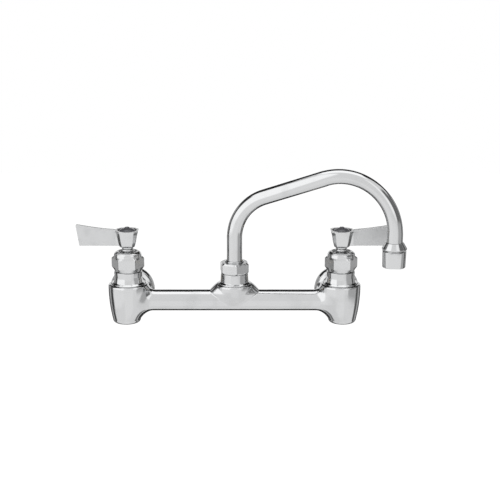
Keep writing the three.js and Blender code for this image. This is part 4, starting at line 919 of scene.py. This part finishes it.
lever_chrome = plated("polished_chrome_lever", CHROME, 0.13, 0.10, 0.07, brushed_blade)
for side, outward in (("left", -1), ("right", 1)):
    low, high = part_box(f"{side}_lever_handle")
    x = outward * VALVE_X
    centre = Vector((x, -AXIS_TO_WALL, 0))
    foot = low.z
    lip = foot + HUB_HEIGHT
    hub_floor = foot + HUB_FLOOR
    flare_start = foot + NECK_HEIGHT
    flare_height = lip - LIP_EDGE - flare_start

    def flared(angles, heights):
        rise = np.clip((heights - flare_start) / flare_height, 0, 1)
        flare = (1 - LIP_SHARE) * rise ** 0.6 + LIP_SHARE * rise ** 6
        worn = 0.35 * mm * np.clip((heights - lip + 0.5 * mm) / (0.5 * mm), 0, 1) ** 2
        half = (HUB_FOOT_WIDTH + (HUB_LIP_WIDTH - HUB_FOOT_WIDTH) * flare) / 2 - worn
        total = 0
        for k in range(4):
            wide = np.maximum(np.cos(angles - k * math.pi / 2), 0) / half
            narrow = np.maximum(np.cos(angles - (k + 0.5) * math.pi / 2), 0)
            narrow = narrow / (half * (1 + CORNER_SHARE) / math.sqrt(2))
            total = total + (wide * mm) ** CORNER_WEAR + (narrow * mm) ** CORNER_WEAR
        return mm / total ** (1 / CORNER_WEAR)

    flare_heights = [flare_start + flare_height * t for t in np.linspace(0, 1, 22)]
    lip_heights = [lip - 0.5 * mm, lip - 0.3 * mm, lip - 0.1 * mm, lip]
    hub = turned([
        (0, foot), (NECK_WAIST, foot, 0.4 * mm), (NECK_WAIST, flare_start - 0.5 * mm, 0.4 * mm),
        *((HUB_CLEAR, z) for z in flare_heights + lip_heights),
        (9 * mm, lip, 0.4 * mm), (9 * mm, hub_floor, 0.4 * mm), (0, hub_floor),
    ], centre, reach=flared, sides=240)
    root = HUB_LIP_WIDTH / 2
    reach_out = (high.x - x) if outward > 0 else (x - low.x)
    tip = high.z
    top_edge = [(root + (reach_out - 1.2 * mm - root) * t,
                 foot + BLADE_ROOT + (tip - foot - BLADE_ROOT) * t - BLADE_SAG * 4 * t * (1 - t))
                for t in np.linspace(0, 1, 16)]
    outline = [(5 * mm, foot + BLADE_FOOT), (reach_out - 2.9 * mm, foot + BLADE_FOOT),
               (reach_out, tip - 1.2 * mm), (reach_out - 0.35 * mm, tip - 0.35 * mm),
               *reversed(top_edge), (root - 1.2 * mm, lip - 3 * mm), (5 * mm, foot + 13 * mm)]
    half = BLADE_THICKNESS / 2
    count = len(outline)
    plate_points = [(x + outward * u, -AXIS_TO_WALL + s * half, v)
                    for s in (-1, 1) for u, v in outline]
    plate_faces = [tuple(range(count)), tuple(range(2 * count - 1, count - 1, -1))]
    plate_faces += [(i, (i + 1) % count, count + (i + 1) % count, count + i) for i in range(count)]
    plate = finished(closed(plate_points, plate_faces),
                     ("BEVEL", {"width": BLADE_ROUNDING, "segments": 4, "limit_method": "ANGLE",
                                "angle_limit": math.radians(50)}))
    hollow = turned([(0, foot - 1 * mm), (4.5 * mm, foot - 1 * mm), (4.5 * mm, foot + 10.3 * mm),
                     (2.2 * mm, foot + 10.3 * mm), (2.2 * mm, hub_floor + 1 * mm),
                     (0, hub_floor + 1 * mm)], centre)
    lever = cut(cut(hub, plate, "UNION"), hollow)
    fit(f"{side}_lever", lever, lever_chrome, f"{side}_handle", "polished_chrome",
        f"{side}_lever_handle")

# ------------------------------------------------------------------ index buttons
# A domed plastic cap is pressed into each hub's mouth and hides the handle's screw.
DOME_HEIGHT = 4.2 * mm
NUB_RADIUS = 2.3 * mm
NUB_HEIGHT = 0.9 * mm
button_plastic = soft_finish("index_plastic", (0.10, 0.10, 0.11), 0.18, 700, 0.01)
for side, x in SIDES:
    low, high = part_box(f"{side}_index_button")
    radius = (high.x - low.x) / 2
    brim = high.z - DOME_HEIGHT
    ball = (radius ** 2 + DOME_HEIGHT ** 2) / (2 * DOME_HEIGHT)
    crown = [(r, high.z - NUB_HEIGHT * (1 - r / radius) - ball + math.sqrt(ball ** 2 - r ** 2))
             for r in np.linspace(radius - 0.4 * mm, NUB_RADIUS, 12)]
    button = turned([
        (0, brim + 0.6 * mm), (radius - 1.5 * mm, brim + 0.6 * mm), (radius - 1.5 * mm, low.z),
        (radius, low.z, 0.2 * mm), (radius, brim, 0.4 * mm), *crown,
        (NUB_RADIUS, high.z, 0.4 * mm), (0, high.z),
    ], Vector((x, -AXIS_TO_WALL, 0)))
    fit(f"{side}_button_cap", button, button_plastic, f"{side}_handle", "index_plastic",
        f"{side}_index_button")

# ------------------------------------------------------------------ spout swivel
# A chrome adapter is screwed into the boss on a fibre gasket. Inside it two O-rings and a nylon
# sleeve carry the tube; a hexagon nut holds down the ferrule that is brazed to the tube.
ADAPTER_BORE = 6.5 * mm
BEARING_ROOM = 10 * mm
COLLAR_THREAD = 11.1 * mm
ADAPTER_FLANGE = 15.6 * mm
for node_name, finish in (
        ("adapter_gasket", fibre), ("lower_o_ring", rubber), ("upper_o_ring", rubber),
        ("swivel_bearing", nylon), ("outlet_washer", rubber)):
    coat(node_name, finish)
low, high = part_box("swivel_adapter")
seat = RIM_HEIGHT - RECESS_DEPTH + FLANGE_SEAT
collar_top = seat + 11.1 * mm
adapter = turned([
    (ADAPTER_BORE, low.z), (10.5 * mm, low.z, 0.5 * mm), (10.5 * mm, seat),
    (ADAPTER_FLANGE, seat, 0.3 * mm), (ADAPTER_FLANGE, seat + 1.3 * mm, 0.5 * mm),
    (13.4 * mm, seat + 2.6 * mm, 0.8 * mm), (13 * mm, collar_top, 0.7 * mm),
    (COLLAR_THREAD, collar_top), (COLLAR_THREAD, high.z, 0.3 * mm), (BEARING_ROOM, high.z),
    (BEARING_ROOM, seat + 0.6 * mm), (ADAPTER_BORE, seat + 0.6 * mm),
], AIM)
fit("adapter_collar", adapter, turned_chrome, "body", "polished_chrome", "swivel_adapter")

SPOUT_NUT_FLATS = 25.4 * mm
SPOUT_NUT_TURN = math.radians(38)
SPOUT_NUT_MOUTH = 11.4 * mm
SPOUT_NUT_EYE = 8.85 * mm
SPOUT_NUT_ROOF = 3.2 * mm
low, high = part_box("spout_nut")
corner = SPOUT_NUT_FLATS / math.sqrt(3)
spout_nut = turned([
    (SPOUT_NUT_MOUTH, low.z, 0.3 * mm), (corner - 1.4 * mm, low.z, 0.2 * mm),
    (corner + 0.8 * mm, low.z + 1.4 * mm, 0.3 * mm),
    (corner + 0.8 * mm, high.z - 1.6 * mm, 0.4 * mm),
    (corner - 2.4 * mm, high.z, 0.5 * mm), (SPOUT_NUT_EYE, high.z, 0.3 * mm),
    (SPOUT_NUT_EYE, high.z - SPOUT_NUT_ROOF), (SPOUT_NUT_MOUTH, high.z - SPOUT_NUT_ROOF),
], AIM, reach=hexagon(SPOUT_NUT_FLATS, SPOUT_NUT_TURN), sides=288)
fit("swivel_hex_nut", spout_nut, nut_chrome, "body", "polished_chrome", "spout_nut")

low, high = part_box("spout_ferrule")
FERRULE_BORE = 7.65 * mm
FERRULE_FLANGE = (11.05 * mm, 2.2 * mm)  # radius and height
ferrule = turned([
    (FERRULE_BORE, low.z), (FERRULE_FLANGE[0], low.z, 0.2 * mm),
    (FERRULE_FLANGE[0], low.z + FERRULE_FLANGE[1], 0.2 * mm), (8.5 * mm, low.z + FERRULE_FLANGE[1]),
    (8.5 * mm, high.z - 0.4 * mm, 0.4 * mm), (FERRULE_BORE, high.z, 0.15 * mm),
], AIM)
fit("tube_ferrule", ferrule, turned_chrome, "spout", "polished_chrome", "spout_ferrule")

# ------------------------------------------------------------------ spout tube
# A brass tube bent to a gooseneck: it rises, leans over in a first bend, climbs straight and
# comes down in a second bend. It is polished and plated, and swings in the swivel.
TUBE_RADIUS = 7.38 * mm
SPOUT_REACH = 152.4 * mm
SPOUT_SWING = math.radians(-16.8)
RISER_HEIGHT = 61.8 * mm
FIRST_BEND = 43.5 * mm
SECOND_BEND = 49.8 * mm
CLIMB = math.radians(19.9)
BEND_FLATTENING = 0.11  # of the tube's width, where it is bent most
TUBE_IN_NOZZLE = 4.6 * mm  # from the nozzle's top down to the tube's end


def arc(middle, radius, angles):
    return [middle + radius * Vector((math.cos(a), math.sin(a))) for a in angles]


low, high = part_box("spout_tube")
tube_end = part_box("outlet_nozzle")[1].z - TUBE_IN_NOZZLE
run = SPOUT_REACH - FIRST_BEND * (1 - math.sin(CLIMB)) - SECOND_BEND * (1 + math.sin(CLIMB))
tilt = math.pi / 2 + CLIMB
tilted = Vector((math.cos(tilt), math.sin(tilt)))
first = Vector((FIRST_BEND, RISER_HEIGHT))
climb_start = first + FIRST_BEND * tilted
climb_end = climb_start + Vector((run, run * math.tan(CLIMB)))
second = climb_end - SECOND_BEND * tilted
spout_line = [Vector((0, z)) for z in np.linspace(low.z, RISER_HEIGHT, 8)[:-1]]
spout_line += arc(first, FIRST_BEND, np.linspace(math.pi, tilt, 40))
spout_line += [climb_start.lerp(climb_end, t) for t in np.linspace(0, 1, 10)[1:-1]]
spout_line += arc(second, SECOND_BEND, np.linspace(tilt, 0, 72))
spout_line += [Vector((SPOUT_REACH, z)) for z in np.linspace(second.y, tube_end, 4)[1:]]
swing = Matrix.Rotation(SPOUT_SWING, 3, "Z")
tube_source = polyline([AIM + swing @ Vector((p.x, 0, p.y)) for p in spout_line])
tube = grow(tube_source, sweep_tree("spout_sweep", turned_chrome, 64), {"Radius": TUBE_RADIUS})
for vertex in tube.vertices:
    local = swing.inverted() @ (vertex.co - AIM)
    across, up = local.x - second.x, local.z - second.y
    angle = math.atan2(up, across)
    out = math.hypot(across, up)
    if 0 < angle < tilt and out >= SECOND_BEND / 2:
        share = BEND_FLATTENING * math.sin(math.pi * angle / tilt) ** 0.6
        squeezed = out - share * (out - SECOND_BEND)
        local.x = second.x + squeezed * math.cos(angle)
        local.z = second.y + squeezed * math.sin(angle)
        vertex.co = AIM + swing @ local
fit("gooseneck", tube, turned_chrome, "spout", "polished_chrome", "spout_tube", crease=40)

# ------------------------------------------------------------------ outlet
# A plated cone is brazed to the tube's end and threaded below. A round shell with two wrench flats
# screws on it and holds the plastic aerator and its washer.
NOZZLE_SHOULDER = 6.5 * mm
NOZZLE_BORE = 6.35 * mm
NOZZLE_THREAD = 8 * mm
NOZZLE_FLANGE = 11.5 * mm
TUBE_SOCKET = 7.68 * mm
outlet_low, outlet_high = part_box("outlet_nozzle")
outlet = middle_line(outlet_low, outlet_high)
shoulder = outlet_low.z + NOZZLE_SHOULDER
cone = turned([
    (NOZZLE_BORE, outlet_low.z), (NOZZLE_THREAD, outlet_low.z, 0.4 * mm),
    (NOZZLE_THREAD, shoulder + 0.3 * mm),
    (NOZZLE_FLANGE, shoulder + 0.3 * mm, 0.3 * mm), (NOZZLE_FLANGE, shoulder + 1.3 * mm, 0.6 * mm),
    (8.4 * mm, outlet_high.z, 0.3 * mm), (TUBE_SOCKET, outlet_high.z),
    (TUBE_SOCKET, shoulder + 1.6 * mm),
    (NOZZLE_BORE, shoulder + 1.6 * mm),
], outlet)
fit("outlet_cone", cone, turned_chrome, "spout", "polished_chrome", "outlet_nozzle")

low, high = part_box("aerator_shell")
FLAT_DISTANCE = 9.1 * mm
FLAT_TURN = math.radians(-4)


def wrench_flats(angles, heights):
    """Two opposite flats that run out just under the shell's top."""
    run_out = np.clip((heights - (high.z - 2.2 * mm)) / (1 * mm), 0, 1) ** 2
    facing = np.abs(np.sin(angles - FLAT_TURN))
    return (FLAT_DISTANCE + 3 * mm * run_out) / np.maximum(facing, 0.05)


SHELL_FOOT = 10.6 * mm
SHELL_SPREAD = 0.4 * mm  # how much wider the shell is at its top
SHELL_MOUTH = 6.6 * mm
SHELL_THREAD = 8.3 * mm
COLLAR_EDGE = 8.9 * mm
shell_top = high.z - 0.5 * mm
shell_rows = [(SHELL_FOOT + SHELL_SPREAD * t, low.z + (shell_top - low.z) * t)
              for t in np.linspace(0.08, 0.95, 24)]
shell = turned([
    (SHELL_MOUTH, low.z, 0.4 * mm), (SHELL_FOOT, low.z, 0.6 * mm), *shell_rows,
    (SHELL_FOOT + SHELL_SPREAD, shell_top, 0.35 * mm), (COLLAR_EDGE, shell_top, 0.1 * mm),
    (COLLAR_EDGE, high.z, 0.1 * mm), (SHELL_THREAD, high.z, 0.1 * mm),
    (SHELL_THREAD, low.z + 1.6 * mm), (SHELL_MOUTH, low.z + 1.6 * mm),
], outlet, reach=wrench_flats, sides=240)
fit("flow_shell", shell, turned_chrome, "spout", "polished_chrome", "aerator_shell")

low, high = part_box("aerator_insert")


def pin_tree():
    """A tree that stands a small pin on each point of its source, as on an aerator's face."""
    nodes, inputs = geometry_tree("aerator_pins", ["Pin Radius", "Pin Height"])
    pin = nodes.add("GeometryNodeMeshCone", {}, {
        "Vertices": 10,
        "Radius Top": Value(nodes, inputs["Pin Radius"]) * 0.6,
        "Radius Bottom": inputs["Pin Radius"],
        "Depth": inputs["Pin Height"],
    })
    stand = nodes.add("GeometryNodeInstanceOnPoints", {}, {
        "Points": inputs["Geometry"],
        "Instance": pin.outputs["Mesh"],
    })
    return grown(nodes, stand.outputs[0], nylon)


PIN_RINGS = ((0, 1), (1.9 * mm, 6), (3.8 * mm, 12), (5.6 * mm, 18))  # radius and number
pin_places = [
    (outlet.x + r * math.cos(2 * math.pi * k / n), outlet.y + r * math.sin(2 * math.pi * k / n),
     low.z - 0.35 * mm)
    for r, n in PIN_RINGS for k in range(n)]
pin_source = bpy.data.meshes.new("pin_places")
pin_source.from_pydata(pin_places, [], [])
pins = grow(pin_source, pin_tree(), {"Pin Radius": 0.55 * mm, "Pin Height": 0.8 * mm})
disc = turned([
    (0, low.z), (8 * mm, low.z, 0.3 * mm), (8 * mm, high.z, 0.3 * mm), (0, high.z),
], outlet)
fit("flow_insert", together(disc, pins), nylon, "spout", "nylon", "aerator_insert")
